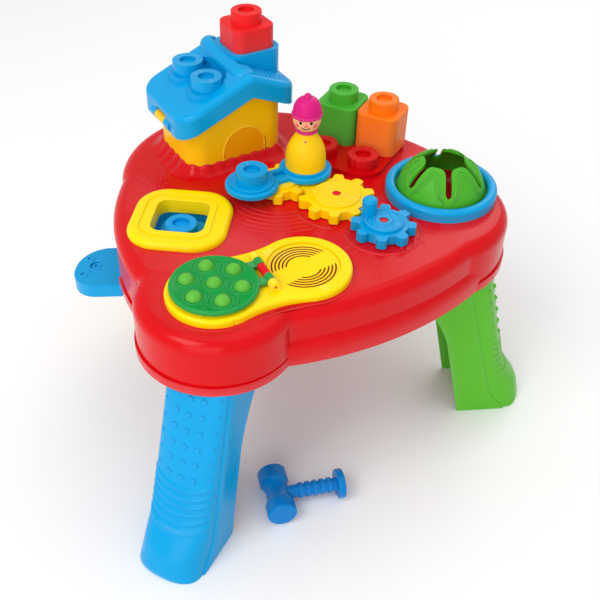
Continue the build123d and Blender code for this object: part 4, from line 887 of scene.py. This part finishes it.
def tongue_relief(mesh):
    """Rings on the part of the ramp that shows outside."""
    for out, side, radius in TONGUE_RINGS:
        height = RAMP_Z - (out - RAMP_START) * RAMP_FALL / RAMP_RUN
        add_ring(mesh, local(SORTER, SORTER_TURN, out, side, height + TONGUE_LIFT), radius * MM, TONGUE_BEAD * MM)


relief("tongue_rings", "table", "chute_blue", tongue_relief)


# Peg doll: plain face, cap brim and bobble, collar and buttons
DOLL_REACH, DOLL_BEARING = 33, 28
DOLL_X = CAROUSEL[0] + DOLL_REACH * cos(radians(DOLL_BEARING))
DOLL_Y = CAROUSEL[1] + DOLL_REACH * sin(radians(DOLL_BEARING))
DOLL_BASE_Z, HEAD_Z, HEAD_RADIUS = 21.6, 77.6, 15
FACE = Vector((-0.12, -1, 0)).normalized()
# Places on the head, turned aside and lifted from the middle of the face
EYES, EYE_RADIUS, EYE_RISE = ((-22, 6), (22, 6)), 1.7, 0.6
CHEEKS, CHEEK_RADIUS, CHEEK_RISE = ((-40, -9), (40, -9)), 2.6, 0.4
NOSE, NOSE_RADIUS, NOSE_RISE = (0, -4), 1.9, 1.5
MOUTH_HALF, MOUTH_Z, MOUTH_SAG, MOUTH_STEPS, MOUTH_BEAD, MOUTH_SIDES = 17, -14, 9, 10, 0.55, 6
BRIM_Z, BRIM_RADIUS, BRIM_BEAD = 5.8, 14.9, 1.9
BOBBLE_Z, BOBBLE_RADIUS, BOBBLE_RISE, BOBBLE_RINGS, BOBBLE_SEGMENTS = 23.6, 3.6, 5.6, 8, 18
NECK_Z, NECK_RADIUS, NECK_BEAD = 43, 10.4, 1.7
# Height of each button and its distance from the doll's axis
COAT_BUTTONS, COAT_BUTTON_RADIUS, COAT_BUTTON_RISE = ((34, 12.9), (25, 16.6)), 2.0, 1.0


def on_head(turn, lift):
    """Point on the head and its normal."""
    aside = Vector((-FACE.y, FACE.x, 0))
    normal = (FACE * cos(radians(turn)) + aside * sin(radians(turn))) * cos(radians(lift)) + UP * sin(radians(lift))
    return spot(DOLL_X, DOLL_Y, HEAD_Z) + normal * HEAD_RADIUS * MM, normal


def doll_eyes(mesh):
    """Two dots for eyes and a curved mouth."""
    for eye in EYES:
        add_cap(mesh, *on_head(*eye), EYE_RADIUS * MM, EYE_RISE * MM)
    half = MOUTH_STEPS / 2
    mouth = []
    for k in range(MOUTH_STEPS + 1):
        lift = MOUTH_Z - MOUTH_SAG * (1 - ((k - half) / half) ** 2)
        mouth.append(on_head(-MOUTH_HALF + 2 * MOUTH_HALF * k / MOUTH_STEPS, lift)[0])
    add_bead(mesh, mouth, MOUTH_BEAD * MM, sides=MOUTH_SIDES)


def doll_cheeks(mesh):
    """Two flat blushes and a button nose."""
    for cheek in CHEEKS:
        add_cap(mesh, *on_head(*cheek), CHEEK_RADIUS * MM, CHEEK_RISE * MM)
    add_cap(mesh, *on_head(*NOSE), NOSE_RADIUS * MM, NOSE_RISE * MM)


def doll_trim(mesh):
    """Brim and bobble of the cap, collar and two buttons."""
    add_ring(mesh, spot(DOLL_X, DOLL_Y, HEAD_Z + BRIM_Z), BRIM_RADIUS * MM, BRIM_BEAD * MM)
    bobble = spot(DOLL_X, DOLL_Y, HEAD_Z + BOBBLE_Z)
    add_cap(mesh, bobble, UP, BOBBLE_RADIUS * MM, BOBBLE_RISE * MM, BOBBLE_RINGS, BOBBLE_SEGMENTS)
    add_ring(mesh, spot(DOLL_X, DOLL_Y, DOLL_BASE_Z + NECK_Z), NECK_RADIUS * MM, NECK_BEAD * MM)
    for height, reach in COAT_BUTTONS:
        place = spot(DOLL_X, DOLL_Y, DOLL_BASE_Z + height) + FACE * reach * MM
        add_cap(mesh, place, FACE, COAT_BUTTON_RADIUS * MM, COAT_BUTTON_RISE * MM)


relief("doll_face", "doll", "doll_skin", doll_eyes, "paint_black")
relief("doll_blush", "doll", "doll_skin", doll_cheeks, "paint_blush")
relief("doll_trim", "doll", "doll_magenta", doll_trim)


# Studio, in metres and watts: pale floor, soft light from the upper left and the front
FLOOR_HALF, FLOOR_COLOUR, FLOOR_ROUGH = 6.0, (0.93, 0.93, 0.93, 1), 0.9
# Place, target, size and power of each soft box
LIGHTS = {
    "key": ((-1.3, -1.1, 2.2), (0, 0, 0.2), 1.2, 22),
    "top": ((0.3, 0.5, 2.6), (0, 0, 0.2), 2.2, 11),
    "fill": ((-0.7, -2.3, 1.0), (0, 0, 0.15), 2.0, 19),
    "back": ((0.9, 1.6, 1.4), (0, 0, 0.25), 1.0, 6),
}
WORLD_COLOUR, WORLD_STRENGTH = (1, 1, 1, 1), 0.66


def floor_material():
    """Plain pale floor."""
    material = bpy.data.materials.new("floor")
    material.use_nodes = True
    shader = material.node_tree.nodes["Principled BSDF"]
    shader.inputs["Base Color"].default_value = FLOOR_COLOUR
    shader.inputs["Roughness"].default_value = FLOOR_ROUGH
    shader.inputs["Specular IOR Level"].default_value = 0.0
    return material


floor_data = bpy.data.meshes.new("floor")
floor_corners = [(x * FLOOR_HALF, y * FLOOR_HALF, 0) for x, y in ((-1, -1), (1, -1), (1, 1), (-1, 1))]
floor_data.from_pydata(floor_corners, [], [(0, 1, 2, 3)])
floor_data.materials.append(floor_material())
floor = bpy.data.objects.new("floor", floor_data)
bpy.context.scene.collection.objects.link(floor)

for name, (place, target, size, power) in LIGHTS.items():
    data = bpy.data.lights.new(name, "AREA")
    data.size = size
    data.energy = power
    lamp = bpy.data.objects.new(name, data)
    lamp.location = place
    lamp.rotation_euler = (Vector(target) - Vector(place)).to_track_quat("-Z", "Y").to_euler()
    bpy.context.scene.collection.objects.link(lamp)

world = bpy.data.worlds.new("studio")
world.use_nodes = True
background = world.node_tree.nodes["Background"]
background.inputs["Color"].default_value = WORLD_COLOUR
background.inputs["Strength"].default_value = WORLD_STRENGTH
bpy.context.scene.world = world

# Camera: where the photo's was, measured from the tabletop's middle at floor level
CAMERA_PLACE = (-30.8, -755.2, 797)
CAMERA_PITCH = 40.25
CAMERA_LENS, CAMERA_SENSOR, CAMERA_SHIFT, CAMERA_CLIP = 53.16, 36, 0.064, 10

camera_data = bpy.data.cameras.new("camera")
camera_data.lens = CAMERA_LENS
camera_data.sensor_width = CAMERA_SENSOR
camera_data.shift_x = CAMERA_SHIFT
camera_data.clip_start = CAMERA_CLIP * MM
camera = bpy.data.objects.new("camera", camera_data)
camera.location = table_middle + Vector(CAMERA_PLACE) * MM
camera.rotation_euler = (radians(90 - CAMERA_PITCH), 0, 0)
bpy.context.scene.collection.objects.link(camera)
bpy.context.scene.camera = camera
bpy.context.scene.view_settings.view_transform = "Standard"
